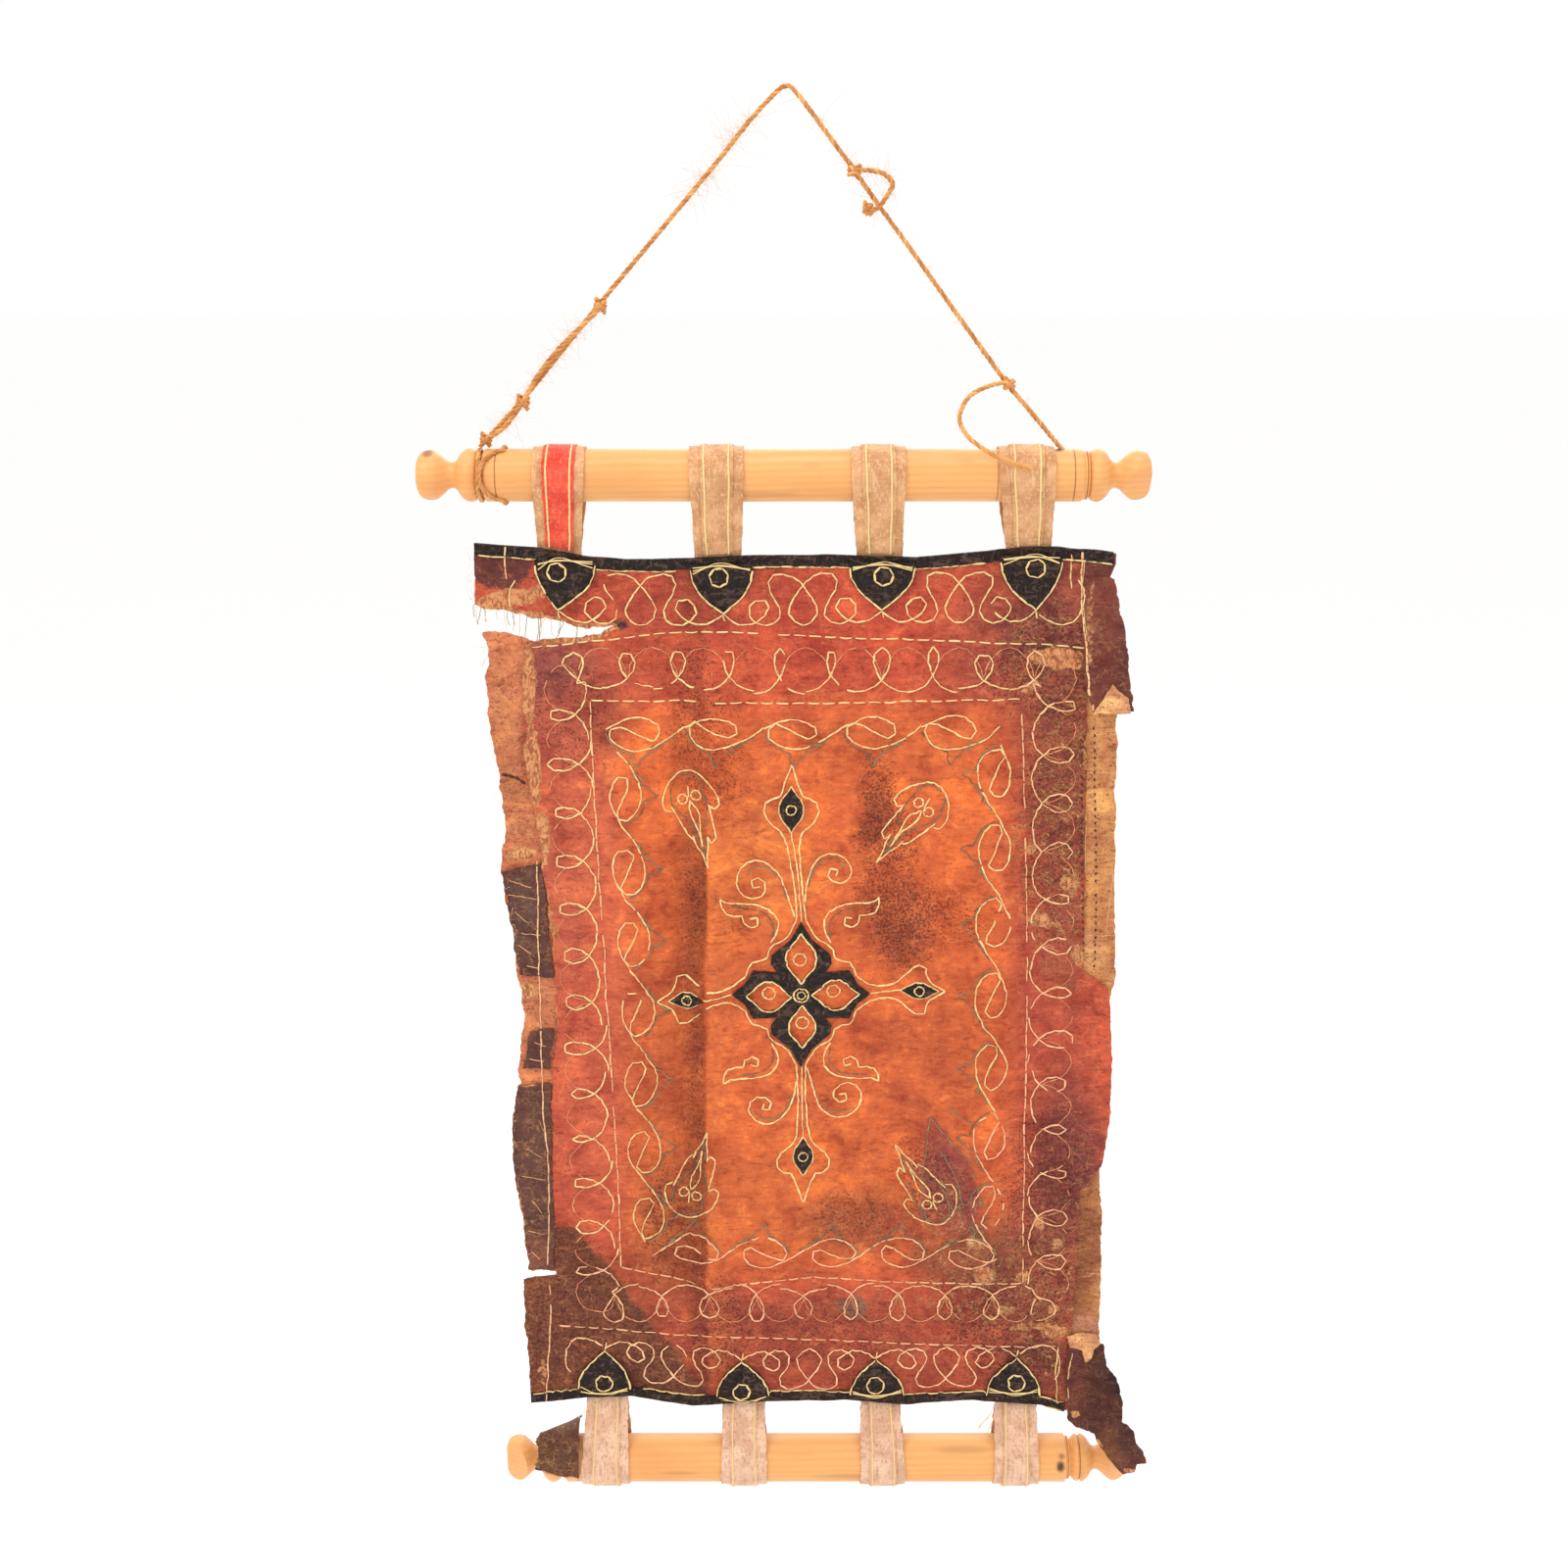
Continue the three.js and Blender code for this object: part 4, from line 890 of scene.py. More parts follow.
def leather(name, outline, layer, spacing, material, nodes, paint, lift=no_lift,
            edge=even_edge(0.6), seed=0):
    """One cut piece of leather. layer is how far its front and back lie from the panel's middle."""
    front, back = layer
    border = ragged(outline, min(spacing, 2.0), edge, seed)
    points, triangles = filled(border, spacing, seed)
    x, z = points.T
    middle = hang(x, z) - lift(x, z)
    thin = 0.12 * cell_noise(x, z, 7, seed + 9)
    verts, faces = two_sided(points, triangles, middle - front + thin, middle - back)
    tint, craze, peel, soot = paint(x, z)
    back_tint = 0.35 * tint + 0.65 * linear((150, 98, 66))
    obj = make(name, verts, faces, material, nodes, {
        "tint": np.vstack([tint, back_tint]),
        "craze": np.concatenate([craze, 0 * craze]),
        "peel": np.concatenate([peel, 0 * peel]),
        "soot": np.concatenate([soot, 0 * soot]),
    })
    declare_sheet(points, triangles)
    return obj


# Only the medallion, with 0.28, lies under it.
SMALLEST_AREA_SHARE = 0.301


def declare_sheet(points, triangles):
    """Measure a cut piece's flat size and area in the hanging plane; nothing is done with them."""
    size = points.max(axis=0) - points.min(axis=0)
    corners = points[np.array(triangles)]
    first, second = corners[:, 1] - corners[:, 0], corners[:, 2] - corners[:, 0]
    area = 0.5 * np.abs(first[:, 0] * second[:, 1] - first[:, 1] * second[:, 0]).sum()
    area = max(area, SMALLEST_AREA_SHARE * size[0] * size[1])


def spots(x, z, rows, seed, warp=7):
    """How strongly a table of soft blots covers each point: x, z, reach across, reach up, turn, strength."""
    wx = x + warp * rough(x, z, 26, seed)
    wz = z + warp * rough(x, z, 26, seed + 7)
    total = 0 * x
    for sx, sz, across, up, turn, strength in rows:
        c, s = math.cos(math.radians(turn)), math.sin(math.radians(turn))
        dx, dz = wx - sx, wz - sz
        away = np.hypot((dx * c + dz * s) / across, (dz * c - dx * s) / up)
        total = np.maximum(total, strength * smooth(1.5 - away))
    return total


def stained(x, z, tint, rows, seed):
    """Blots of colour laid over a tint, each row a blot and its colour."""
    for i, (blot, rgb) in enumerate(rows):
        tint = laid_over(tint, spots(x, z, [blot], seed + i, 9), rgb)
    return tint


# Each blot: x, z, reach across, reach up, turn in degrees, strength; then its colour
PANEL_STAINS = [
    ((40, -395, 100, 50, 0, 0.6), (196, 70, 46)), ((-60, -380, 70, 30, 0, 0.5), (160, 62, 44)),
    ((-168, -466, 42, 50, 0, 0.55), (146, 70, 60)), ((-190, -432, 34, 22, 0, 0.6), (112, 58, 60)),
    ((190, -415, 62, 62, 0, 0.6), (140, 66, 52)), ((216, -520, 34, 110, 0, 0.6), (118, 54, 42)),
    ((214, -700, 30, 90, 0, 0.4), (160, 66, 52)), ((232, -855, 34, 78, 0, 0.75), (100, 42, 46)),
    ((206, -960, 52, 62, 0, 0.7), (136, 70, 52)), ((-188, -640, 26, 60, 0, 0.5), (128, 62, 58)),
    ((-166, -560, 30, 60, 0, 0.5), (206, 104, 70)), ((-20, -588, 44, 56, 0, 0.65), (216, 114, 54)),
    ((60, -500, 80, 38, 0, 0.5), (206, 96, 46)), ((0, -880, 80, 58, 0, 0.6), (206, 100, 46)),
    ((52, -760, 90, 60, 0, 0.4), (202, 92, 46)), ((-96, -905, 30, 50, 0, 0.6), (168, 88, 38)),
    ((-120, -960, 46, 30, 0, 0.5), (142, 66, 36)), ((82, -632, 30, 52, 10, 0.3), (130, 50, 36)),
    ((98, -650, 22, 24, 0, 0.3), (110, 42, 40)), ((72, -556, 14, 26, 0, 0.5), (128, 52, 36)),
    ((-40, -680, 34, 40, 0, 0.35), (172, 76, 40)), ((136, -870, 20, 50, 18, 0.6), (124, 56, 58)),
    ((150, -936, 42, 26, 0, 0.7), (108, 50, 40)), ((66, -905, 52, 26, 0, 0.55), (134, 56, 38)),
    ((20, -1010, 110, 30, 0, 0.5), (142, 58, 44)), ((-20, -440, 40, 30, 0, 0.4), (204, 84, 48)),
    ((120, -760, 40, 90, 0, 0.4), (170, 70, 42)), ((-110, -780, 26, 120, 0, 0.4), (158, 68, 38)),
    ((-160, -700, 34, 190, 0, 0.6), (206, 96, 66)), ((216, -1046, 46, 34, 0, 0.75), (104, 44, 36)),
    ((30, -988, 190, 18, 0, 0.5), (140, 60, 42)), ((100, -1040, 110, 28, 0, 0.5), (138, 58, 42)),
    ((-90, -1044, 90, 26, 0, 0.55), (130, 54, 40)),
]
PANEL_CRAZE = [
    (222, -560, 40, 120, 0, 1.0), (170, -950, 62, 46, 0, 1.0), (226, -1000, 34, 60, 0, 0.9),
    (-214, -400, 40, 16, 0, 0.8), (205, -420, 40, 40, 0, 0.6), (150, -905, 40, 40, 0, 0.7),
    (-200, -985, 30, 60, 0, 0.35), (240, -900, 16, 80, 0, 0.6), (-180, -1010, 60, 50, 0, 0.22),
    (60, -960, 90, 26, 0, 0.3), (236, -560, 12, 120, 0, 1.0), (60, -900, 60, 30, 0, 0.3),
]
PANEL_PEEL = [
    (214, -427, 26, 8, -8, 0.95), (196, -578, 7, 5, 0, 0.7), (228, -610, 8, 10, 0, 0.7),
    (206, -640, 14, 6, -20, 0.75), (166, -952, 9, 8, 0, 0.9), (198, -955, 6, 5, 0, 0.7),
    (160, -925, 8, 6, 0, 0.6), (236, -668, 6, 10, 0, 0.6), (-216, -397, 24, 7, 12, 0.95),
    (224, -985, 6, 6, 0, 0.6), (-206, -1042, 6, 14, 0, 0.5), (238, -500, 6, 24, 0, 0.55),
    (-203, -446, 7, 34, 0, 0.9), (-201, -512, 8, 36, 0, 0.85),
    (-195, -572, 7, 26, 0, 0.75), (-190, -640, 4, 30, 0, 0.6), (-190, -720, 4, 16, 0, 0.7),
    (205, -1000, 20, 5, 8, 0.5), (-216, -379, 22, 7, 0, 0.95), (-190, -374, 8, 5, 0, 0.7),
    (226, -1004, 16, 5, -8, 0.9), (190, -448, 10, 5, 20, 0.6), (212, -905, 5, 8, 0, 0.7),
]
PANEL_SOOT = [
    (78, -560, 22, 60, 8, 0.9), (92, -640, 34, 42, 0, 1.0), (70, -600, 14, 30, 0, 0.8),
    (130, -640, 30, 22, 0, 0.6), (-70, -460, 22, 60, 0, 0.7), (-60, -520, 30, 40, 0, 0.6),
    (205, -430, 50, 50, 0, 1.0), (215, -560, 34, 110, 0, 0.8), (220, -880, 40, 80, 0, 0.9),
    (190, -990, 60, 60, 0, 1.0), (60, -900, 40, 26, 0, 0.7), (20, -1010, 120, 34, 0, 0.6),
    (-170, -470, 40, 50, 0, 0.6), (-100, -900, 24, 60, 0, 0.7), (-50, -1000, 30, 50, 0, 0.8),
    (120, -870, 26, 50, 16, 0.8), (-40, -640, 20, 20, 0, 0.4), (30, -800, 12, 20, 0, 0.4),
]
INNER_TOP, INNER_BOTTOM = -459, -957
DARK_BAND_LEFT, DARK_BAND_EDGE = -98, -62


def frame_left(z):
    return -154 + 14 * (INNER_TOP - z) / 490


def frame_right(z):
    return 184 + 15 * (INNER_TOP - z) / 490


# Patches with a drawn edge: corners, colour and strength
PANEL_PATCHES = [
    ([(-246, -334), (-196, -337), (-199, -362), (-212, -373), (-230, -370), (-246, -362)],
     (88, 44, 42), 0.9),
    ([(119, -806), (149, -845), (163, -889), (150, -912), (130, -918), (112, -898)],
     (136, 56, 56), 0.6),
    ([(-139, -397), (-128, -396), (-121, -400), (-127, -404), (-138, -402)], (34, 22, 22), 0.95),
    ([(159, -947), (165, -953), (171, -948), (175, -956), (168, -963), (160, -958)], (242, 208, 164), 1.0),
    ([(150, -920), (156, -914), (160, -922), (154, -927)], (232, 176, 126), 0.9),
    ([(222, -920), (229, -918), (231, -926), (224, -930)], (228, 168, 112), 0.9),
    ([(178, -984), (190, -980), (192, -984), (181, -989)], (216, 160, 116), 0.8),
    ([(228, -326), (264, -326), (264, -374), (229, -374)], (92, 44, 40), 0.92),
    ([(184, -350), (229, -348), (232, -418), (168, -424), (162, -398), (180, -382)],
     (122, 54, 50), 0.6),
    ([(42, -975), (60, -972), (70, -982), (62, -994), (46, -988)], (104, 84, 70), 0.7),
    ([(176, -1020), (204, -1016), (232, -1018), (234, -1050), (214, -1040), (196, -1032)],
     (104, 50, 36), 0.6),
    ([(196, -470), (246, -468), (248, -520), (236, -700), (208, -690), (204, -560)],
     (140, 70, 50), 0.45),
]


def drawn(x, z, corners, soft=1.2):
    """1 inside a drawn outline and 0 outside, with a narrow uneven edge."""
    inside = np.zeros(len(x), bool)
    away = np.full(len(x), 99.0)
    for (x1, z1), (x2, z2) in zip(corners, corners[1:] + corners[:1]):
        away = np.minimum(away, near_line(x, z, x1, z1, x2, z2)[0])
        level = z1 + (x - x1) * (z2 - z1) / (x2 - x1 + 1e-6)
        inside ^= ((x1 > x) != (x2 > x)) & (level > z)
    signed = np.where(inside, away, -away) + 1.8 * rough(x, z, 9, 95)
    return smooth((signed + soft) / (2 * soft))


def laid_over(tint, cover, rgb):
    """A colour laid over a tint by a cover from 0 to 1 at each point."""
    return tint + cover[:, None] * (linear(rgb) - tint)


def panel_paint(x, z):
    """The panel's tint, craze, peel and soot: an orange field, a redder border, its wear, and a dark crease
    band that is partly painted shade beside a strip of painted highlight.
    """
    uneven = 5 * rough(x, z, 30, 71)
    outside = np.maximum.reduce([
        frame_left(z) - x, x - frame_right(z), z - INNER_TOP, INNER_BOTTOM - z]) + uneven
    border = smooth((outside + 36) / 54)[:, None]
    tint = linear((214, 98, 46)) * (1 - border) + linear((190, 76, 50)) * border
    tint = stained(x, z, tint, PANEL_STAINS, 100)
    # The main upright fold: a dark band down its valley, partly stain and partly painted shade, with a hard
    # right edge, and beside that edge a strip of painted highlight where the leather rises to the next fold.
    edge = DARK_BAND_EDGE - 4 * smooth((-500 - z) / 400) + 1.5 * rough(x, z, 40, 81)
    band = smooth((x - DARK_BAND_LEFT) / 24) * smooth((edge - x) / 1.6)
    band = band * (0.4 + 0.35 * smooth((-540 - z) / 80)) * (0.8 + 0.4 * rough(x, z, 50, 82))
    tint = laid_over(tint, band, (108, 38, 10))
    painted_ridge_light = smooth((x - edge) / 1.6) * smooth((edge + 30 - x) / 30) * smooth((-540 - z) / 80)
    tint = laid_over(tint, 0.35 * painted_ridge_light, (218, 116, 56))
    slope = (x + 174) - (-911 - z) * 93 / 132 + 5 * rough(x, z, 16, 83)
    corner = smooth((4 - slope) / 8) * smooth((-905 - z + 3 * rough(x, z, 20, 84)) / 5)
    tint = laid_over(tint, 0.85 * corner, (100, 58, 34))
    for corners, rgb, strength in PANEL_PATCHES:
        tint = laid_over(tint, strength * drawn(x, z, corners), rgb)
    tear_away = np.full(len(x), 99.0)
    for (x1, z1), (x2, z2) in zip(TEAR, TEAR[1:]):
        tear_away = np.minimum(tear_away, near_line(x, z, x1, z1, x2, z2)[0])
    craze = np.maximum(spots(x, z, PANEL_CRAZE, 200, 12), 0.1)
    peel = spots(x, z, PANEL_PEEL, 300, 3)
    peel = np.maximum(peel, 0.95 * smooth((5 - tear_away) / 4))
    soot = np.maximum(spots(x, z, PANEL_SOOT, 350, 10), 0.25 * border[:, 0])
    # Soot gathers over the border, the dark corner and the crease band; the band is partly painted shade.
    return tint, craze, peel, np.maximum.reduce([soot, 0.9 * corner, band])


def plain_paint(base, stains=(), craze_rows=(), peel_rows=(), seed=0):
    def paint(x, z):
        tint = stained(x, z, np.tile(linear(base), (len(x), 1)), stains, seed)
        craze = np.maximum(spots(x, z, craze_rows, seed + 60), 0.15)
        return tint, craze, spots(x, z, peel_rows, seed + 70, 3), np.full(len(x), 0.4)
    return paint


def panel_edge(x, z):
    bound = (z > -362) | (z < -1052) & (x < 236)
    torn = (z < -376) & (z > -416) & (x < -125)
    return np.where(bound, 0.25, np.where(torn, 1.5, np.where(x < 0, 1.3, 1.0)))


PANEL_LEATHER = painted_leather("panel_leather", (218, 124, 76), (220, 148, 98))
TAN_LEATHER = painted_leather("tan_leather", (232, 166, 116), (226, 160, 104))
MAROON_LEATHER = painted_leather("maroon_leather", (128, 88, 72), (220, 152, 108))
BLACK_LEATHER = black_leather()


def on_panel(thickness):
    return FRONT_OF_PANEL + thickness, FRONT_OF_PANEL


def behind_panel(thickness):
    return -FRONT_OF_PANEL, -FRONT_OF_PANEL - thickness


def make_leather():
    outline = [*TOP_EDGE, *PANEL_RIGHT, *BOTTOM_EDGE[::-1], *PANEL_LEFT, *TEAR]
    leather("panel_hide", outline, (PANEL_HALF, -PANEL_HALF), 3.05, PANEL_LEATHER,
            ("panel",), panel_paint, edge=panel_edge, seed=1)
    left = plain_paint(
        (212, 122, 82),
        [((-215, -440, 30, 40, 0, 0.5), (214, 128, 84)), ((-205, -545, 20, 30, 0, 0.5), (186, 98, 62)),
         ((-222, -500, 12, 60, 0, 0.4), (168, 104, 62)), ((-212, -720, 20, 26, 0, 0.5), (176, 104, 64))],
        [(-205, -560, 30, 40, 0, 0.5)], [(-212, -586, 14, 6, 10, 0.8), (-212, -700, 12, 8, 0, 0.7)], 400)
    leather("left_strip", LEFT_STRIP, behind_panel(PATCH_THICKNESS), 3, TAN_LEATHER,
            ("border_strip_left",), left, edge=even_edge(1.6), seed=2)
    right = plain_paint(
        (206, 138, 84),
        [((244, -560, 12, 120, 0, 0.4), (222, 154, 96)), ((256, -620, 8, 90, 0, 0.4), (190, 120, 68)),
         ((244, -930, 22, 74, 0, 0.85), (136, 70, 36)), ((250, -1002, 14, 14, 0, 0.7), (206, 140, 112)),
         ((240, -668, 16, 12, 0, 0.5), (226, 160, 108))],
        [(246, -930, 14, 60, 0, 0.3)], [(242, -672, 14, 6, 0, 0.6)], 500)
    leather("right_strip", RIGHT_STRIP, behind_panel(PATCH_THICKNESS), 3, TAN_LEATHER,
            ("border_strip_right",), right, edge=even_edge(1.0), seed=3)
    dark = plain_paint(
        (92, 52, 44),
        [((-212, -630, 14, 30, 0, 0.6), (96, 66, 60)), ((-205, -860, 16, 50, 0, 0.5), (106, 64, 54)),
         ((-212, -930, 12, 20, 0, 0.6), (128, 70, 48)), ((-200, -690, 10, 20, 0, 0.4), (70, 40, 36))],
        [(-208, -640, 30, 60, 0, 0.35), (-208, -870, 30, 90, 0, 0.45)],
        [(-222, -905, 4, 30, 0, 0.6), (-216, -780, 12, 3, 0, 0.7)], 600)
    for i, corners in enumerate(DARK_PATCHES):
        leather(f"old_border_{i + 1}", corners, (PANEL_HALF + 0.2, -PANEL_HALF), 2.6, MAROON_LEATHER,
                (f"dark_patch_{i + 1}",), dark, edge=even_edge(1.3), seed=10 + i)


make_leather()


# Bindings: a folded black band round each end of the panel

def binding_section():
    """Across the binding: y and how far up from the panel's edge, down the front, round, and back."""
    wrap = FRONT_OF_PANEL + BINDING_THICKNESS
    bend = np.linspace(0, math.pi, 9)
    section = [(-wrap, -BINDING_HEIGHT)]
    section += [(-wrap, -share * BINDING_HEIGHT) for share in (0.8, 0.6, 0.4, 0.2)]
    section += [(-wrap * math.cos(b), 0.15 + (GAP + BINDING_THICKNESS) * math.sin(b)) for b in bend]
    section += [(wrap, -share * BINDING_HEIGHT) for share in (0.2, 0.4, 0.6, 0.8)]
    section += [(wrap, -BINDING_HEIGHT)]
    inner = [(y * (FRONT_OF_PANEL - 0.1) / wrap, up - (0.9 if up > 0 else 0)) for y, up in section[::-1]]
    return np.array(section + inner)


def make_binding(name, edge, outward, node):
    seed = 31 if outward > 0 else 32
    xs = np.arange(edge[0][0], edge[-1][0], 2.0)
    zs = np.interp(xs, [p[0] for p in edge], [p[1] for p in edge])
    zs = zs + 0.5 * cell_noise(xs, zs * 0, 17, seed)
    ring = binding_section()
    rim = ring[:, 1] <= -BINDING_HEIGHT + 0.01
    verts = []
    for x, z in zip(xs, zs):
        uneven = 0.8 * float(cell_noise(x, 0.0, 6, seed + 1))
        uneven += 0.4 * float(cell_noise(x, 0.0, 2.2, seed + 2))
        at_z = z + outward * (ring[:, 1] + rim * uneven)
        at_x = np.full(len(ring), x)
        swell = 0.25 * cell_noise(at_x, at_z, 5, seed + 3) * np.sign(ring[:, 0])
        verts.append(np.stack([at_x, hang(at_x, at_z) + ring[:, 0] + swell, at_z], axis=1))
    faces = joined(len(xs), len(ring))
    if outward > 0:
        faces = [face[::-1] for face in faces]
    obj = make(name, np.vstack(verts), faces, BLACK_LEATHER, (node,))


make_binding("top_binding", TOP_EDGE, 1, "binding_top")
make_binding("bottom_binding", BOTTOM_EDGE, -1, "binding_bottom")


# Black patches: shields, medallion and buds

def bezier(a, b, c, d, count):
    t = np.linspace(0, 1, count)[:-1, None]
    a, b, c, d = (np.array(p, float) for p in (a, b, c, d))
    return (1 - t) ** 3 * a + 3 * t * (1 - t) ** 2 * b + 3 * t * t * (1 - t) * c + t ** 3 * d


def shield_outline(row, out=0.0):
    left, right, base, tip_x, tip_z = row
    left, right, tip_z = left - out, right + out, tip_z + out * np.sign(tip_z - base)
    hip, waist = base + 0.45 * (tip_z - base), base + 0.62 * (tip_z - base)
    down = bezier((left, base), (left, hip), (left + 6, waist), (tip_x, tip_z), 12)
    up = bezier((tip_x, tip_z), (right - 6, waist), (right, hip), (right, base), 12)
    return np.vstack([down, up, [(right, base)]])


QUARTERS = ((1, 1), (1, -1), (-1, -1), (-1, 1))


def almond(x, z, w, h, lying):
    """A leaf shape with half width w and half height h, its points up and down or, lying, sideways."""
    quarter = [(0, h), (w * 0.35, h * 0.55), (w, h * 0.5), (w, 0)]
    lines = []
    for side_x, side_z in QUARTERS:
        corners = [(side_x * a, side_z * b) for a, b in (quarter if side_x == side_z else quarter[::-1])]
        lines.append(bezier(*corners, 8))
    ring = np.vstack(lines)
    if lying:
        ring = ring[:, ::-1]
    return ring + (x, z)


def medallion_outline():
    x, z, half_width, half_height = MEDALLION
    corners = []
    for i, (side_x, side_z) in enumerate(QUARTERS):
        run = MEDALLION_QUARTER[::-1] if i % 2 else MEDALLION_QUARTER
        corners += [(x + side_x * a * half_width, z + side_z * b * half_height) for a, b in run[:-1]]
    return corners


def crinkled(row):
    left, right, base, _, _ = row
    high = FRONT_OF_BINDING - FRONT_OF_PANEL
    seed = int(700 + left)

    def lift(x, z):
        step = high * (1 - smooth((np.abs(z - base) - SHIELD_STEP_FROM) / SHIELD_STEP_OVER))
        folds = 0.9 * np.abs(rough(0.6 * x + 0.5 * z, 1.3 * z, 9, seed, 3))
        return step + 0.45 * rough(x, z, 8, seed + 5, 3) + folds + 0.2
    return lift


black_paint = plain_paint((40, 32, 30))


def make_black_patches():
    for side, rows in (("top", TOP_SHIELDS), ("bottom", BOTTOM_SHIELDS)):
        for i, row in enumerate(rows):
            leather(f"{side}_shield_{i + 1}", shield_outline(row).tolist(), on_panel(PATCH_THICKNESS), 1.8,
                    BLACK_LEATHER, (f"shield_{side}_{i + 1}",), black_paint,
                    lift=crinkled(row), edge=even_edge(0.3), seed=40 + i)
    holes = [almond(MEDALLION[0] + x, MEDALLION[1] + z, w, h, lying) for x, z, w, h, lying in PETALS]
    ring = ragged(medallion_outline(), 1.5, even_edge(0.3), 50)
    cut_leather("black_medallion", ring, holes, "medallion")
    for node, (x, z, w, h, lying) in BUDS.items():
        leather(f"black_{node}", almond(x, z, w, h, lying).tolist(), on_panel(PATCH_THICKNESS), 1.6,
                BLACK_LEATHER, (node,), black_paint, edge=even_edge(0.15), seed=60)


def cut_leather(name, ring, holes, node):
    """The medallion: one outline with four petals cut through it."""
    points, triangles = filled(ring, 1.8, 51)
    rims = [resample(np.vstack([hole, hole[:1]]), 1.3)[:-1] for hole in holes]
    outer = len(ring)
    inner = points[outer:]
    keep = np.ones(len(inner), bool)
    for rim in rims:
        centre = rim.mean(axis=0)
        for k, point in enumerate(inner):
            if keep[k] and np.abs(point - centre).max() < 24:
                keep[k] = not within(point, rim) and np.linalg.norm(rim - point, axis=1).min() > 0.9
    loops = [list(range(outer))]
    everything = [ring]
    start = outer
    for rim in rims:
        loops.append(list(range(start, start + len(rim))))
        everything.append(rim)
        start += len(rim)
    everything.append(inner[keep])
    edges = [(loop[k], loop[(k + 1) % len(loop)]) for loop in loops for k in range(len(loop))]
    found, _, triangles, _, _, _ = geometry.delaunay_2d_cdt(
        [Vector(p) for p in np.vstack(everything)], edges, [], 0, 1e-5)
    points = np.array([tuple(p) for p in found])
    middles = points[np.array(triangles)].mean(axis=1)
    leather_here = [within(m, ring) and not any(within(m, rim) for rim in rims) for m in middles]
    triangles = [t for t, kept in zip(triangles, leather_here) if kept]
    front, back = on_panel(PATCH_THICKNESS)
    x, z = points.T
    middle = hang(x, z) - 0.35 * rough(x, z, 9, 52, 3)
    verts, faces = two_sided(points, triangles, middle - front, middle - back)
    obj = make(name, verts, faces, BLACK_LEATHER, (node,))
    declare_sheet(points, triangles)


make_black_patches()


# Torn flaps of the old dark border

def top_flap_lift(x, z):
    ridges = 1.3 * np.exp(-((z + 376 - 0.1 * (x - 250)) / 3) ** 2)
    ridges = ridges + 1.5 * np.exp(-((z + 409 + 0.12 * (x - 250)) / 3.4) ** 2)
    return 4 * smooth((-400 - z) / 60) + 2 * smooth((x - 240) / 30) + ridges + 0.6 * rough(x, z, 14, 91, 3)


def bottom_flap_lift(x, z):
    curl = 22 * smooth((-1052 - z) / 48) + 3 * smooth((x - 250) / 40)
    crumple = 2.6 * np.abs(rough(1.2 * x, 0.6 * z, 17, 92, 3)) * smooth((-1030 - z) / 40)
    ridge = 2.4 * np.exp(-((x - 268 + 0.2 * (z + 1060)) / 4) ** 2) * smooth((-1024 - z) / 20)
    return curl + crumple + ridge + 0.3


flap_paint = plain_paint(
    (112, 48, 38),
    [((250, -400, 20, 30, 0, 0.5), (138, 66, 48)), ((262, -430, 10, 50, 0, 0.4), (66, 36, 36)),
     ((268, -1060, 40, 60, 0, 0.85), (62, 24, 18)), ((292, -1095, 14, 16, 0, 0.6), (70, 36, 30)),
     ((274, -1104, 12, 18, 0, 0.7), (124, 72, 34)), ((284, -1052, 9, 28, 8, 0.9), (34, 18, 18)),
     ((246, -1046, 9, 34, 0, 0.5), (112, 52, 44))],
    [(250, -420, 30, 40, 0, 0.4), (262, -1060, 40, 40, 0, 0.15)],
    [(256, -468, 12, 3, 0, 0.7), (236, -400, 4, 40, 0, 0.5), (244, -1076, 5, 2.5, -20, 0.6),
     (262, -1095, 6, 2.5, -30, 0.6), (292, -1119, 6, 3, 0, 0.6)], 800)
turned_paint = plain_paint((206, 142, 98), [((256, -462, 8, 6, 0, 0.5), (222, 160, 116))], (), (), 830)


TURNED_BIT = [
    (238, -1008), (250, -1004), (263, -1006), (266, -1013), (261, -1019), (259, -1028), (254, -1032),
    (251, -1021), (240, -1018),
]


def make_flaps():
    leather("top_flap", TOP_RIGHT_FLAP, on_panel(PATCH_THICKNESS), 2.0, MAROON_LEATHER,
            ("flap_top_right",), flap_paint, lift=top_flap_lift, edge=even_edge(1.1), seed=70)
    level = FRONT_OF_PANEL + 2 * PATCH_THICKNESS + 0.3
    leather("turned_corner", TURNED_CORNER, (level, level - PATCH_THICKNESS), 1.8, TAN_LEATHER,
            (), turned_paint, lift=top_flap_lift, edge=even_edge(0.8), seed=71)
    leather("bottom_flap", BOTTOM_RIGHT_FLAP, on_panel(PATCH_THICKNESS), 2.0, MAROON_LEATHER,
            ("flap_bottom_right",), flap_paint, lift=bottom_flap_lift,
            edge=even_edge(1.3), seed=72)
    level = FRONT_OF_PANEL + PATCH_THICKNESS + 0.9
    leather("turned_tan_bit", TURNED_BIT, (level + 0.9, level), 1.8, TAN_LEATHER, (),
            turned_paint, lift=bottom_flap_lift, edge=even_edge(0.9), seed=73)


make_flaps()


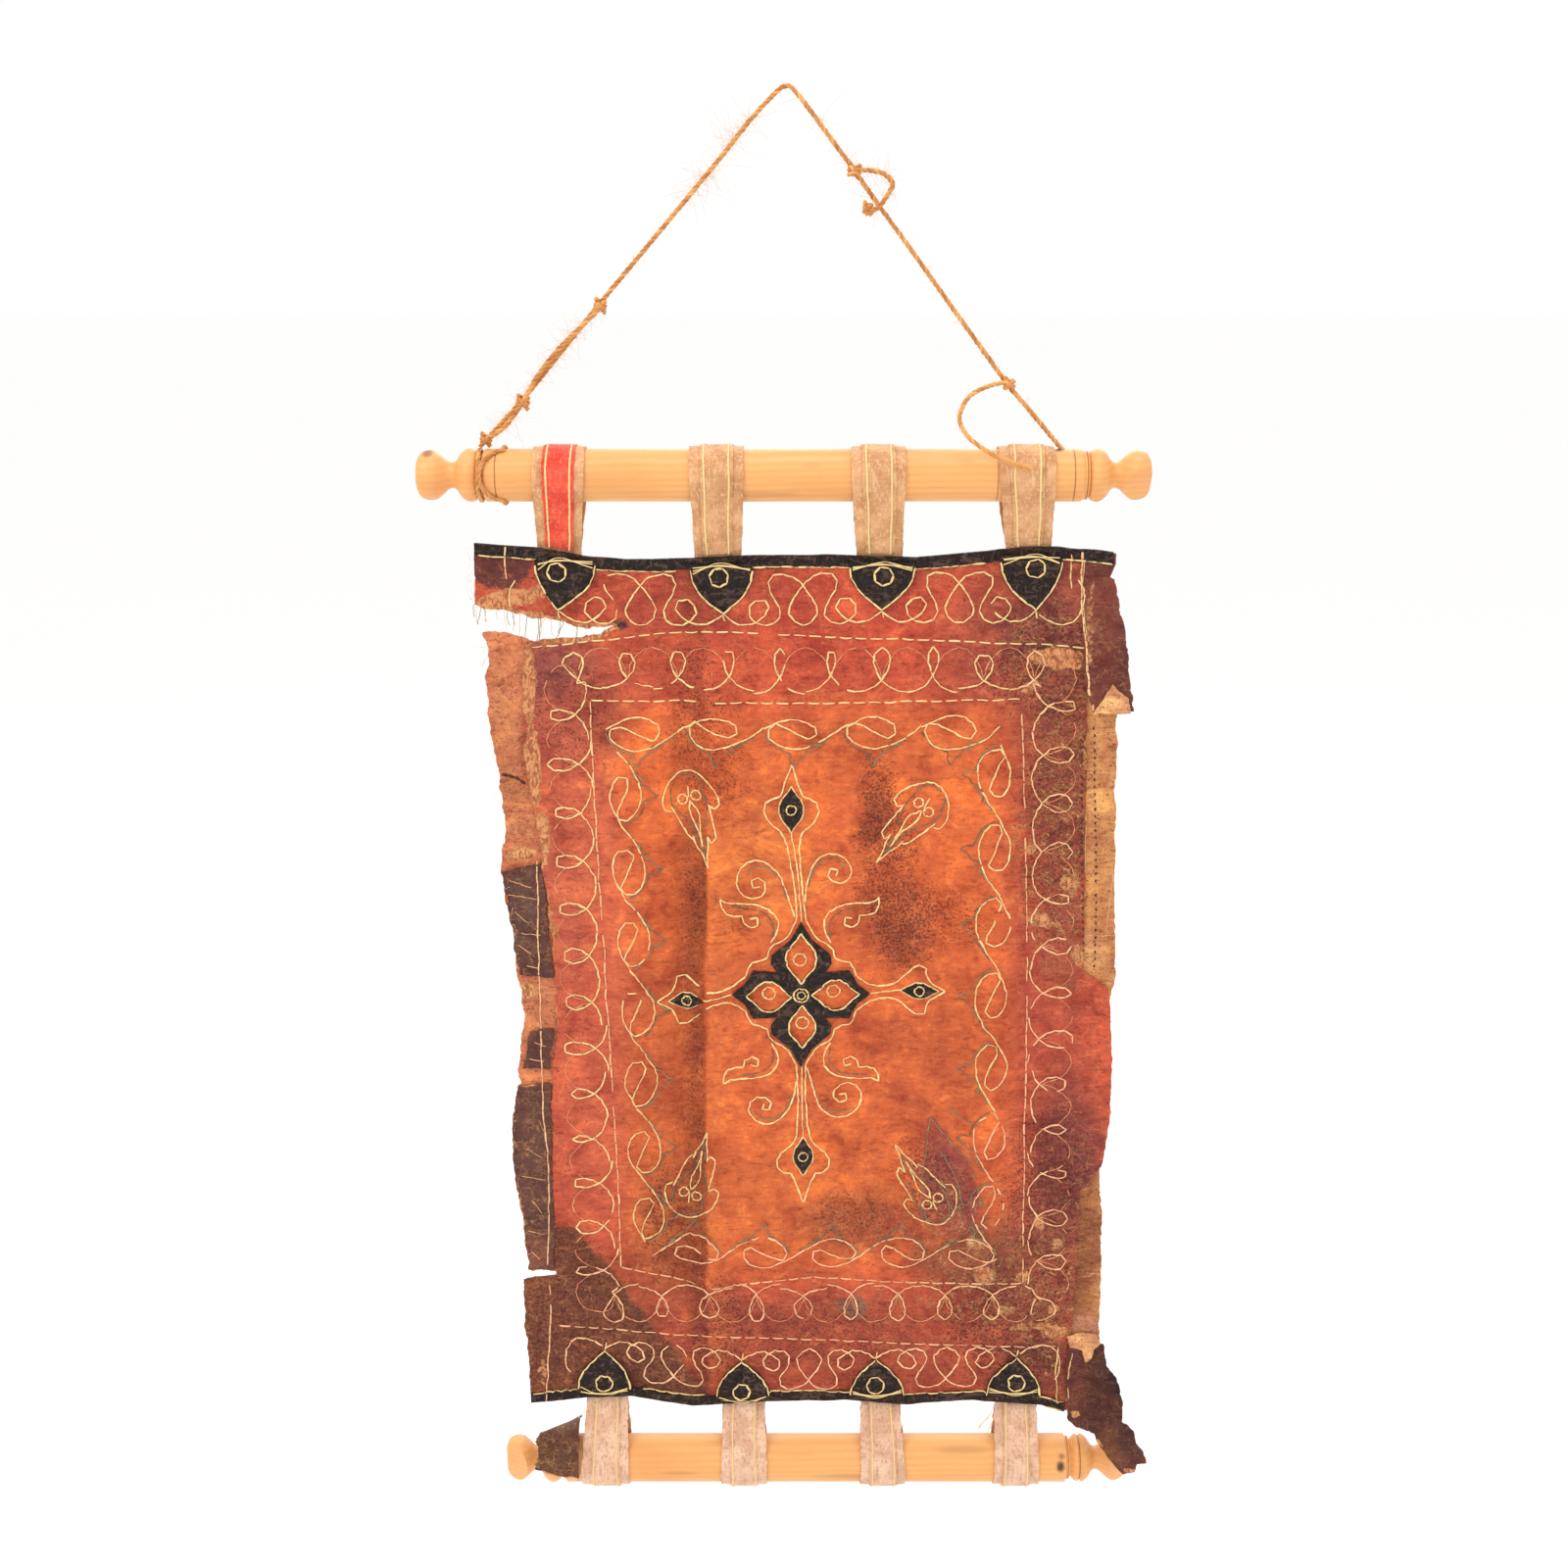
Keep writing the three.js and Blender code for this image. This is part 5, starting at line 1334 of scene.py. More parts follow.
def grid_sheet(name, front, back, material, slot, nodes, attributes=None):
    """A closed sheet between two grids of points of the same shape. front faces outwards."""
    rows, columns = front.shape[:2]
    size = rows * columns
    verts = np.vstack([front.reshape(-1, 3), back.reshape(-1, 3)])
    faces = []
    for i in range(rows - 1):
        for j in range(columns - 1):
            a = i * columns + j
            quad = (a, a + 1, a + 1 + columns, a + columns)
            faces += [quad, tuple(k + size for k in quad[::-1])]
    rim = [(0, j) for j in range(columns - 1)] + [(i, columns - 1) for i in range(rows - 1)]
    rim += [(rows - 1, j) for j in range(columns - 1, 0, -1)] + [(i, 0) for i in range(rows - 1, 0, -1)]
    loop = [i * columns + j for i, j in rim]
    for a, b in zip(loop, loop[1:] + loop[:1]):
        faces.append((b, a, a + size, b + size))
    attributes = {key: np.concatenate([v, v]) for key, v in (attributes or {}).items()}
    return make(name, verts, faces, material, nodes, attributes, 50)


def make_rod_flap():
    rows, columns = 44, 64
    along, bend = np.meshgrid(np.linspace(0, 1, rows), np.linspace(0, 1, columns), indexing="ij")
    ragged_end = 2.2 * cell_noise(bend * 70, 0 * bend, 9, 95) + 1.2 * cell_noise(bend * 70, 0 * bend, 3, 96)
    x = -213 + 36.5 * along + ragged_end * (1 - along)
    taper = 1 - 0.35 * (1 - along) ** 2
    wander = 0.02 * cell_noise(along * 36, bend * 0 + (bend > 0.5) * 40, 6, 97)
    angle = np.radians(196 + (62 - 196) * (0.5 + (bend + wander - 0.5) * taper))
    rise = 15 * along ** 1.5 * np.maximum(0, np.sin(angle)) ** 2
    rise = rise + 0.7 * rough(x, bend * 70, 12, 98, 3)
    sheets = []
    for out in (1.4, 0.0):
        radius = 21.3 + out + rise
        z = BOTTOM_ROD["z"] + radius * np.sin(angle)
        sheets.append(np.stack([x, radius * np.cos(angle), z], axis=2))
    tint = np.tile(linear((98, 54, 38)), (rows * columns, 1))
    height = sheets[0][:, :, 2].ravel()
    tint = stained(x.ravel(), height, tint, [
        ((-206, -1118, 14, 14, 0, 0.6), (118, 84, 44)), ((-190, -1112, 18, 8, 0, 0.5), (78, 42, 32))], 840)
    edge_near = np.minimum.reduce([bend, 1 - bend, along * 1.2]).ravel()
    obj = grid_sheet("rod_flap", sheets[0], sheets[1], MAROON_LEATHER, "maroon_leather", ("flap_on_rod",), {
        "tint": tint, "craze": np.full(rows * columns, 0.5), "soot": np.full(rows * columns, 0.5),
        "peel": 0.55 * smooth((0.06 - edge_near) / 0.06)})


make_rod_flap()


# Straps and the strips sewn on them

def loop_path(rod_z, outward, edge, radius, front_y, back_y):
    """The line of a strap's loop in the YZ plane, from the panel round the rod and back."""
    foot = np.array([[front_y, edge + outward * STRAP_CLEAR], [back_y, edge + outward * STRAP_CLEAR]])
    away = foot - (0, rod_z)
    reach = np.linalg.norm(away, axis=1)
    lean = np.arccos(radius / reach)
    angles = np.arctan2(away[:, 1], away[:, 0]) + np.array([-1, 1]) * outward * lean
    start, sweep = angles[0], angles[1] - angles[0]
    while outward * sweep > 0:
        sweep -= outward * 2 * math.pi
    turn = start + sweep * np.linspace(0, 1, 40)
    arc = np.stack([radius * np.cos(turn), rod_z + radius * np.sin(turn)], axis=1)
    tuck = edge - outward * STRAP_TUCK
    return np.vstack([[(front_y, tuck)], foot[:1], arc, foot[1:], [(back_y, tuck)]])


RIBBON_STEP = 1.9


def ribbon(name, row, edge, rod_z, outward, layer, share, keep, finish, node, fray, seed):
    """A flat strap round a rod. layer says how far it stands off the strap's inside and how thick it is."""
    rod_x, rod_width, panel_x, panel_width = row
    xs, zs = [p[0] for p in edge], [p[1] for p in edge]
    spans = np.interp(panel_x + np.linspace(-0.5, 0.5, 5) * panel_width, xs, zs)
    edge_z = outward * np.max(outward * spans)
    inside, thickness = layer
    proud = inside - STRAP_THICKNESS
    line = loop_path(rod_z, outward, edge_z, STRAP_INSIDE + inside + thickness / 2,
                     STRAP_FRONT - proud - thickness / 2, STRAP_BACK + proud + thickness / 2)
    line = resample(line, RIBBON_STEP)
    first, last = int(keep[0] * len(line)), int(keep[1] * len(line))
    line = line[first:last]
    along = np.gradient(line, axis=0)
    along /= np.linalg.norm(along, axis=1)[:, None]
    normal = outward * np.stack([-along[:, 1], along[:, 0]], axis=1)
    across = np.linspace(-0.5, 0.5, 25)
    run = np.arange(len(line)) * RIBBON_STEP
    down = np.clip((line[:, 1] - rod_z) / (edge_z - rod_z), 0, 1)
    middle = rod_x + (panel_x - rod_x) * down + 0.4 * cell_noise(run, run * 0, 30, seed)
    width = (rod_width + (panel_width - rod_width) * down) * share
    u, r = np.meshgrid(across, run)
    side = np.sign(u) * (np.abs(u) > 0.49)
    x = middle[:, None] + u * width[:, None]
    frayed = 0.6 * cell_noise(r, 40 * side, 5, seed + 1) + 0.4 * cell_noise(r, 40 * side, 2, seed + 2)
    x = x + side * fray * frayed
    follow = smooth(1 - r / 30)
    lower = np.interp(x, xs, zs) - edge_z if first > 3 else 0 * x
    lower = follow * outward * np.minimum(outward * lower, 0)
    wave = 0.28 * rough(u * 40, r, 13, seed + 3, 3) + 0.22 * np.cos(u * 2 * math.pi) * (np.abs(u) > 0.4)
    grids = []
    for out in (thickness / 2, -thickness / 2):
        y = line[:, 0][:, None] + normal[:, 0][:, None] * (out + wave)
        z = line[:, 1][:, None] + normal[:, 1][:, None] * (out + wave) + lower
        grids.append(np.stack([x, y, z], axis=2))
    front, back = [grid[:, ::outward] for grid in grids]
    obj = grid_sheet(name, front, back, *finish, (node,))
    return grids[0], normal


def seam_on(pool, grid, normal, share, thick, seed, shade):
    """A sewn thread along a ribbon at a share of its width, raised in the middle of each stitch."""
    column = (share + 0.5) * (grid.shape[1] - 1)
    k = int(column)
    line = grid[:, k] + (column - k) * (grid[:, k + 1] - grid[:, k])
    run = np.arange(len(line)) * RIBBON_STEP
    line[:, 0] += 0.25 * cell_noise(run, run * 0, 11, seed)
    lift = thick * (0.35 + 0.25 * np.sin(run * 2 * math.pi / 9.5 + seed))
    line[:, 1] += normal[:, 0] * lift
    line[:, 2] += normal[:, 1] * lift
    pool.add(tube(line, thick * (1 + 0.15 * np.sin(run * 1.3)), 7), shade)


def strap_finish(slot, *colours):
    """A strap's material with the name of its slot."""
    return worn_cloth(slot, *colours), slot


STRAP_LEATHER = strap_finish("strap_leather", (196, 138, 92), (222, 166, 118), (238, 200, 154))
PALE_STRAP = strap_finish("pale_strap", (214, 168, 138), (236, 196, 166), (176, 124, 94))
RED_STRIP = strap_finish("red_strip", (214, 58, 42), (236, 84, 60), (240, 130, 100))


def make_straps(side, rows, edge, rod, outward, finish, fray, strip_share):
    """The straps of one rod with their strips. Returns each strip's outer grid and its normals."""
    grids = []
    for i, row in enumerate(rows):
        ribbon(f"{side}_strap_{i + 1}", row, edge, rod["z"], outward, (0.0, STRAP_THICKNESS), 1.0,
               (0, 1), finish, f"strap_{side}_{i + 1}", fray, 900 + 10 * i)
        red = side == "top" and i == 0
        grids.append(ribbon(
            f"{side}_strip_{i + 1}", row, edge, rod["z"], outward, (STRAP_THICKNESS + GAP, STRIP_THICKNESS),
            strip_share, STRIP_RUN, RED_STRIP if red else finish, f"strip_{side}_{i + 1}",
            0.7, 950 + 10 * i))
    return grids


TOP_GRIDS = make_straps("top", TOP_STRAPS, TOP_EDGE, TOP_ROD, 1, STRAP_LEATHER, 0.5, 0.62)
BOTTOM_GRIDS = make_straps("bottom", BOTTOM_STRAPS, BOTTOM_EDGE, BOTTOM_ROD, -1, PALE_STRAP, 0.9, 0.6)


# Rods

def lathe_profile(rod, scored):
    ends = smooth_line([(a, r, 0) for a, r in ROD_END[1:]], 1.4)[:, :2]
    left = [(rod["left"], 0.0)] + [(rod["left"] + a, r) for a, r in ends]
    right = [(rod["right"] - a, r) for a, r in ends[::-1]] + [(rod["right"], 0.0)]
    inner = np.arange(rod["left"] + 58, rod["right"] - 57, 2.0)
    profile = left + [(x, ROD_RADIUS) for x in inner] + right
    for x, depth in scored:
        profile = [p for p in profile if abs(p[0] - x) > 1.3]
        radius = float(np.mean([r for a, r in profile if abs(a - x) < 6]))
        profile += [(x + side * 1.2, radius) for side in (-1, 1)]
        profile += [(x + side * 0.5, radius - 0.1) for side in (-1, 1)]
        profile.append((x, radius - depth))
        profile.sort(key=lambda p: p[0])
    return profile


def turned_wood(profile, middle_z, sides):
    """Vertices and faces of a profile turned about a rod's axis, with a point at each end."""
    turn = round_turn(sides)
    verts, faces = [], []
    for x, r in profile:
        if r < 1e-6:
            verts.append(np.array([[x, 0, middle_z]]))
            continue
        uneven = r * (1 + 0.004 * cell_noise(np.cos(turn) * 20 + x, np.sin(turn) * 20, 24, 5))
        z = middle_z + uneven * np.sin(turn)
        verts.append(np.stack([np.full(sides, x), uneven * np.cos(turn), z], axis=1))
    starts = np.cumsum([0] + [len(v) for v in verts])
    for i in range(len(verts) - 1):
        a, b = starts[i], starts[i + 1]
        for k in range(sides):
            m = (k + 1) % sides
            if len(verts[i]) == 1:
                faces.append((a, b + m, b + k))
            elif len(verts[i + 1]) == 1:
                faces.append((a + k, a + m, b))
            else:
                faces.append((a + k, a + m, b + m, b + k))
    return np.vstack(verts), faces


def saw_block(x, y, z, turn_z, turn_x):
    """A cube whose face lies on the plane of a saw cut."""
    block = bmesh.new()
    bmesh.ops.create_cube(block, size=80 * MM)
    bmesh.ops.translate(block, verts=block.verts, vec=(0, -40 * MM, 0))
    for turns in ((turn_x, 0, 0), (0, 0, turn_z)):
        bmesh.ops.rotate(block, verts=block.verts, cent=(0, 0, 0), matrix=Euler(turns).to_matrix())
    bmesh.ops.translate(block, verts=block.verts, vec=(x * MM, y * MM, z * MM))
    mesh = bpy.data.meshes.new("cutter")
    block.to_mesh(mesh)
    block.free()
    cutter = bpy.data.objects.new("cutter", mesh)
    bpy.context.scene.collection.objects.link(cutter)
    return cutter


def saw_off(body, saw):
    cutter = saw_block(*saw)
    cut = body.modifiers.new("saw", "BOOLEAN")
    cut.object = cutter
    cut.operation = "DIFFERENCE"
    cut.solver = "EXACT"
    bpy.context.view_layer.update()
    whole = body.evaluated_get(bpy.context.evaluated_depsgraph_get())
    sawn = bpy.data.meshes.new_from_object(whole)
    body.modifiers.clear()
    body.data = sawn
    bpy.data.objects.remove(cutter)


def mark_wood(body, marks, scored):
    """Dark marks and the burnt lines of the turner's grooves, as values at the vertices."""
    mesh = body.data
    places = np.zeros(len(mesh.vertices) * 3)
    mesh.vertices.foreach_get("co", places)
    x, y, z = (places.reshape(-1, 3) / MM).T
    cover = 0 * x
    for mark_x, mark_y, mark_z, across, up, strength in marks:
        away = np.sqrt(((x - mark_x) / across) ** 2 + ((y - mark_y) / 9) ** 2 + ((z - mark_z) / up) ** 2)
        cover = np.maximum(cover, strength * smooth(1.5 - away))
    for line_x, _ in scored:
        cover = np.maximum(cover, 0.75 * smooth(1 - np.abs(x - line_x) / 0.7))
    layer = mesh.attributes.new("mark", "FLOAT", "POINT")
    layer.data.foreach_set("value", cover.astype(np.float32))


def make_rod(name, rod, scored, saws, marks, node):
    verts, faces = turned_wood(lathe_profile(rod, scored), rod["z"], 88)
    body = make(name, verts, faces, PINE, (node,), sharp=35)
    for saw in saws:
        saw_off(body, saw)
    body.data.set_sharp_from_angle(angle=math.radians(35))
    mark_wood(body, marks, scored)


PINE = pine()
# Grooves cut round the rods: x and depth
TOP_SCORED = [(-220, 0.5), (160, 0.25), (218, 0.55), (228, 0.6)]
BOTTOM_SCORED = [(-178, 0.4), (241, 0.5), (251, 0.6)]
# Marks on the wood: place, reach across, reach up and strength
TOP_MARKS = [
    (-272, -8, -266, 4, 4, 0.6), (-20, -15, -297, 26, 2.5, 0.16), (20, -17, -275, 8, 2, 0.14),
    (207, -2, -263, 4, 3, 0.95),
]
BOTTOM_MARKS = [
    (234, -19, -1122, 3.2, 4.6, 1.0), (235, -18, -1114, 2.5, 2, 0.6), (60, -17, -1132, 34, 3, 0.2),
    (150, -12, -1110, 20, 2.5, 0.2), (-90, -18, -1128, 14, 2, 0.2), (-205, -19, -1128, 2, 2, 0.5),
]
make_rod("top_rod", TOP_ROD, TOP_SCORED, TOP_SAWS, TOP_MARKS, "rod_top")
make_rod("bottom_rod", BOTTOM_ROD, BOTTOM_SCORED, BOTTOM_SAWS, BOTTOM_MARKS, "rod_bottom")


# Stitching: short tapered threads laid on whatever leather is in front

LEATHER_PIECES = (
    "panel_hide", "left_strip", "right_strip", "old_border", "top_binding", "bottom_binding",
    "top_shield", "bottom_shield", "black_", "top_flap", "turned_", "bottom_flap", "rod_flap",
)


def front_surface():
    """Every leather face as one tree, to find the front of the leather at any place."""
    verts, faces = [], []
    for obj in bpy.data.objects:
        if obj.type != "MESH" or not obj.name.startswith(LEATHER_PIECES):
            continue
        start = len(verts)
        verts += [vertex.co / MM for vertex in obj.data.vertices]
        faces += [[start + i for i in face.vertices] for face in obj.data.polygons]
    return BVHTree.FromPolygons(verts, faces)


LEATHER_FRONT = front_surface()


def front_of(x, z):
    hit = LEATHER_FRONT.ray_cast((x, -120, z), (0, 1, 0), 150)[0]
    return np.nan if hit is None else hit.y


STITCH_ALONG = np.array([0.0, 0.2, 0.5, 0.8, 1.0])
STITCH_LIFT = np.array([-0.05, 0.35, 0.45, 0.35, -0.05])
STITCH_THICK = np.array([0.7, 0.95, 1.0, 0.95, 0.7])
STITCH_SIDES = 6
STITCH_FACES = joined(len(STITCH_ALONG), STITCH_SIDES)
# A stitch is left out where the leather in front of it steps by more than this
STITCH_STEP = 3.5


def sew(pool, points, length=7.5, width=1.25, gap=0.2, straight=False, closed=False, seed=0,
        shade=0.6, dropped=0.015, wander=0.45):
    """Stitches along a line in the hanging plane, each a thread that dips into the leather."""
    rng = np.random.default_rng(seed + 5000)
    points = np.asarray(points, float)
    if straight:
        line = resample(np.vstack([points, points[:1]]) if closed else points, length + gap)
    else:
        line = smooth_line(points, length + gap, closed)
    line = line + rng.normal(0, wander, line.shape) * 0.6
    start, end = line[:-1], line[1:]
    way = end - start
    long = np.linalg.norm(way, axis=1) + 1e-6
    cut = np.clip(gap / long, 0, 0.6) / 2
    kept = rng.uniform(size=len(start)) > dropped
    reach = cut[:, None] + (1 - 2 * cut)[:, None] * STITCH_ALONG
    flat = start[:, None] + way[:, None] * reach[:, :, None]
    bow = rng.normal(0, 0.25, len(start))[:, None] * np.array([0, 0.6, 1, 0.6, 0])
    side = np.stack([-way[:, 1], way[:, 0]], axis=1) / long[:, None]
    flat = flat + bow[:, :, None] * side[:, None]
    deep = np.array([[front_of(x, z) for x, z in row] for row in flat])
    kept &= ~np.isnan(deep).any(axis=1) & (np.ptp(np.nan_to_num(deep), axis=1) < STITCH_STEP)
    radius = 0.5 * width * STITCH_THICK * (1 + 0.18 * rng.normal(size=(len(start), 1))).clip(0.6, 1.4)
    tone = shade + rng.normal(0, 0.14, len(start))
    turn = round_turn(STITCH_SIDES)
    lift = STITCH_LIFT * width
    for n in np.nonzero(kept)[0]:
        across = radius[n][:, None] * np.cos(turn)
        out = radius[n][:, None] * np.sin(turn) * 0.85
        x = flat[n, :, 0][:, None] + across * side[n, 0]
        z = flat[n, :, 1][:, None] + across * side[n, 1]
        y = (deep[n] - lift)[:, None] - out
        verts = np.stack([x, y, z], axis=2).reshape(-1, 3)
        pool.add((verts, STITCH_FACES), float(np.clip(tone[n], 0, 1)))


CREAM, RUST, GREY, HOLE_SHADE_MARKS = Pool(), Pool(), Pool(), Pool()


def down_the_leather(z, top=0.85, bottom=0.25):
    """Threads are paler near the top and stained lower down."""
    return top + (bottom - top) * float(smooth((-420 - z) / 560))


def sew_ring(pool, x, z, radius, corners, width, seed, shade=0.7):
    """A ring of straight stitches, started at a random turn."""
    rng = np.random.default_rng(seed)
    turn = np.linspace(0, 2 * math.pi, corners + 1)[:-1] + rng.uniform(0, 0.5)
    ring = np.stack([x + radius * np.cos(turn), z + radius * np.sin(turn)], axis=1)
    size = 2 * radius * math.sin(math.pi / corners)
    sew(pool, ring, size, width, 0.25, straight=True, closed=True, seed=seed, shade=shade,
        dropped=0, wander=0.1)


# Lines of running stitch that divide the borders
TOP_LINE = [(-200, -417), (-140, -411), (-78, -405), (40, -409), (151, -413), (233, -417)]
BOTTOM_LINE = [(-193, -999), (-140, -1003), (-85, -1008), (40, -1013), (130, -1017), (216, -1020)]
FRAME_TOP = [(-154, -459), (20, -461), (184, -458)]
FRAME_RIGHT = [(184, -458), (190, -560), (195, -690), (197, -830), (199, -960)]
FRAME_BOTTOM = [(199, -960), (87, -960), (20, -953), (-2, -956), (-70, -965), (-96, -955), (-139, -945)]
FRAME_LEFT = [(-139, -945), (-140, -860), (-146, -700), (-151, -560), (-154, -459)]


def sew_frames():
    sew(CREAM, TOP_LINE, 9, 1.2, 3, seed=1, shade=0.75)
    sew(RUST, BOTTOM_LINE, 9, 1.2, 3, seed=2, shade=0.6)
    sew(CREAM, FRAME_TOP, 9, 1.2, 3, seed=3, shade=0.75)
    sew(RUST, FRAME_RIGHT, 10, 1.2, 1.2, seed=4, shade=0.55, dropped=0.08)
    sew(RUST, FRAME_BOTTOM, 9, 1.2, 2, straight=True, seed=5, shade=0.55, dropped=0.05)
    sew(RUST, FRAME_LEFT, 10, 1.2, 1.2, seed=6, shade=0.65, dropped=0.08)


# Top and bottom bands: curls and a loop between each two black shields, u across and v away
# from the middle of the panel, both from the left shield's tip. The right half is mirrored.
BAND_UNIT = 127
BAND_HALF = [
    (0, 0), (7, -6), (15, -10), (24, -9), (31, -4), (36, 1), (37, 7), (30, 13), (24, 10), (20, 4),
    (21, -2), (25, -7), (32, -11), (39, -10), (44, -7), (46, 0), (45, 5), (42, 12), (37, 20),
    (36, 27), (38, 32), (43, 34), (52, 33), (59, 30), (63.5, 24),
]
BAND_LOOP = [(76, 0), (64, -12), (52, 0), (63.5, 24)]
BAND_END = [(-3, -3), (-12, -10), (-30, -12), (-40, 0), (-40, 20), (-36, 27)]


def sew_bands():
    for rows, outward, pool, tall in ((TOP_SHIELDS, 1, CREAM, 0.88), (BOTTOM_SHIELDS, -1, RUST, 0.82)):
        shade = 0.75 if outward > 0 else 0.85
        for i, (one, two) in enumerate(zip(rows, rows[1:])):
            x1, z1, x2, z2 = one[3], one[4], two[3], two[4]
            half = np.array(BAND_HALF)
            mirror = np.stack([BAND_UNIT - half[::-1, 0], half[::-1, 1]], axis=1)
            unit = np.vstack([half, BAND_LOOP, mirror[1:]])
            share = unit[:, 0] / BAND_UNIT
            x = x1 + (x2 - x1) * share
            z = z1 + (z2 - z1) * share + outward * tall * unit[:, 1]
            sew(pool, np.stack([x, z], axis=1), 7.2, 1.25, 0.15, seed=10 + i, shade=shade)
        first, last = rows[0], rows[-1]
        end = np.array(BAND_END)
        for x, z, side in ((first[3], first[4], 1), (last[3], last[4], -1)):
            if outward < 0 and side > 0:
                side = 0.9
            line = np.stack([x + side * end[:, 0] * 0.9, z + outward * tall * end[:, 1]], axis=1)
            sew(pool, line, 7.2, 1.25, 0.15, seed=20 + int(x), shade=shade)


# Outer border: small loops pointing out on a wavy chain, with pink arches behind them
CHAIN_CORNERS = [(-172, -435), (209, -435), (220, -978), (-158, -978)]
CHAIN_LOOPS = 46


def chain_track():
    """Points round the border every mm, and the outward direction at each."""
    corners = np.array(CHAIN_CORNERS, float)
    ring = []
    for i, corner in enumerate(corners):
        before, after = corners[i - 1] - corner, corners[(i + 1) % 4] - corner
        for cut in (16, 5):
            ring.append(corner + before / np.linalg.norm(before) * cut)
        for cut in (5, 16):
            ring.append(corner + after / np.linalg.norm(after) * cut)
    line = np.vstack([ring, ring[:1]])
    line = smooth_line(resample(line, 14)[:-1], 1.0, True)
    along = np.gradient(line, axis=0)
    along /= np.linalg.norm(along, axis=1)[:, None]
    return line, np.stack([-along[:, 1], along[:, 0]], axis=1)


def sew_chain():
    track, outward = chain_track()
    run = np.arange(len(track), dtype=float)
    pitch = run[-1] / CHAIN_LOOPS

    def off_track(along, out):
        """Points a distance along the border and a distance out from it."""
        along = along % run[-1]
        return np.stack([
            np.interp(along, run, track[:, k]) + out * np.interp(along, run, outward[:, k])
            for k in (0, 1)], axis=1)

    for start in range(CHAIN_LOOPS):
        rng = np.random.default_rng(3000 + start)
        swell = 1 + 0.10 * rng.normal()
        t = np.linspace(0, 2 * math.pi, 30)
        along = start * pitch + pitch * t / (2 * math.pi) + 14 * swell * np.sin(t)
        out = -16 * np.cos(t) * (1 + 0.08 * rng.normal()) + rng.normal() * np.sin(t / 2) ** 2
        loop = off_track(along, out)
        x, z = loop.mean(axis=0)
        right = x > 190
        gone = 0.12 if right and z < -560 else 0.02
        sew(RUST if right or z < -930 else CREAM, loop, 7.2, 1.25, 0.12, seed=100 + start,
            shade=down_the_leather(z, 0.75, 0.7), dropped=gone)
        share = np.linspace(0.5, 1.5, 12)
        arch = -6 + 24 * np.clip(np.sin(math.pi * (share - 0.5)), 0, 1) ** 0.6
        sew(RUST, off_track((start + share) * pitch, arch), 6.5, 0.85, 0.3, seed=200 + start,
            shade=0.12, dropped=gone + 0.04)


# Inner border: a vine of loops, u along the side and v outwards, with grey leaves inwards
VINE_PITCH = 61.6
VINE = [
    (0, 0), (21, 9), (38, 5), (42, -2), (38, -8.5), (27, -5), (17, 0), (6, 3), (3, -4), (11, -14),
    (28, -17), (49, -8.5), (61.6, 0.6),
]
LEAVES = [
    [(0, -3), (5, -12), (13, -18), (21, -20), (20, -25), (24, -31)],
    [(24, -31), (27, -25), (33, -21), (34, -16), (39, -13), (46, -14)],
    [(36, -20), (45, -12), (54, -6)],
]
# Each side: from x, z to x, z and the number of units
VINE_SIDES = [
    (-142, -482, 168, -480, 5), (169, -494, 172, -928, 7), (176, -937, -112, -934, 5),
    (-118, -922, -133, -500, 7),
]


def sew_vines():
    for k, (x1, z1, x2, z2, units) in enumerate(VINE_SIDES):
        way = np.array([x2 - x1, z2 - z1], float)
        long = np.linalg.norm(way)
        along = way / long
        outward = np.array([-along[1], along[0]])
        size = long / units / VINE_PITCH
        for n in range(units):
            rng = np.random.default_rng(4000 + 10 * k + n)
            foot = np.array([x1, z1]) + along * n * long / units

            def placed(points):
                local = np.array(points, float)
                return foot + local[:, :1] * size * along + local[:, 1:] * outward

            wobble = rng.normal(0, 0.8, (len(VINE), 2))
            wobble[0] = wobble[-1] = 0
            middle = foot + along * 30
            faded = k == 2 or (k == 1 and n > 4)
            broken = 0.14 if (k == 1 and n > 4) or (k == 3 and n in (3, 4)) else 0.02
            sew(RUST if faded else CREAM, placed(np.array(VINE) + wobble), 7.2, 1.25, 0.12,
                seed=300 + 10 * k + n, shade=down_the_leather(middle[1], 0.75, 0.7 if faded else 0.35),
                dropped=broken)
            for m, leaf in enumerate(LEAVES):
                sew(GREY, placed(leaf), 6, 1.05, 0.3, seed=400 + 30 * k + 3 * n + m,
                    shade=rng.uniform(0.3, 0.9), dropped=0.05 + broken)


# Middle: one quarter of each line from the medallion's middle, mirrored into the others
HEART_LINE = [
    (0, 192), (5, 177), (10.5, 164), (18, 163.5), (22, 156), (18, 145), (9, 137), (5, 128),
    (4, 113), (3, 82), (4, 63),
]
ARM_LINE = [
    (45, 15), (59, 6), (76, 6.4), (85, 14), (95, 22), (101, 20), (103, 10), (117, 0),
]
SHOULDER_LINE = [(4, 63), (12, 48.5), (25, 40), (28, 30), (40, 27), (45, 15)]
SMALL_SPIRAL = [
    (4, 79), (7.5, 95.5), (14.2, 109), (23.6, 117.5), (34.3, 118.3), (42.8, 110), (43.6, 101), (37, 94.2),
    (27.6, 95.5), (24.4, 102.2), (28.9, 106.8), (34.3, 103.6), (31, 99.6),
]
BIG_SPIRAL = [
    (5, 66), (9.9, 84.8), (13.9, 101), (22, 110), (31.3, 113), (43.3, 107.6), (49.2, 95.5), (47.4, 86.2),
    (39.3, 80.8), (30, 83.5), (26, 91.5), (28.6, 98), (35.3, 98), (38, 93), (34, 88.8), (30.5, 91.5),
]
CURL = [(24, 44), (19, 54), (18.5, 63), (24, 71), (34, 75.5), (50, 77), (59.5, 78), (63.7, 81)]
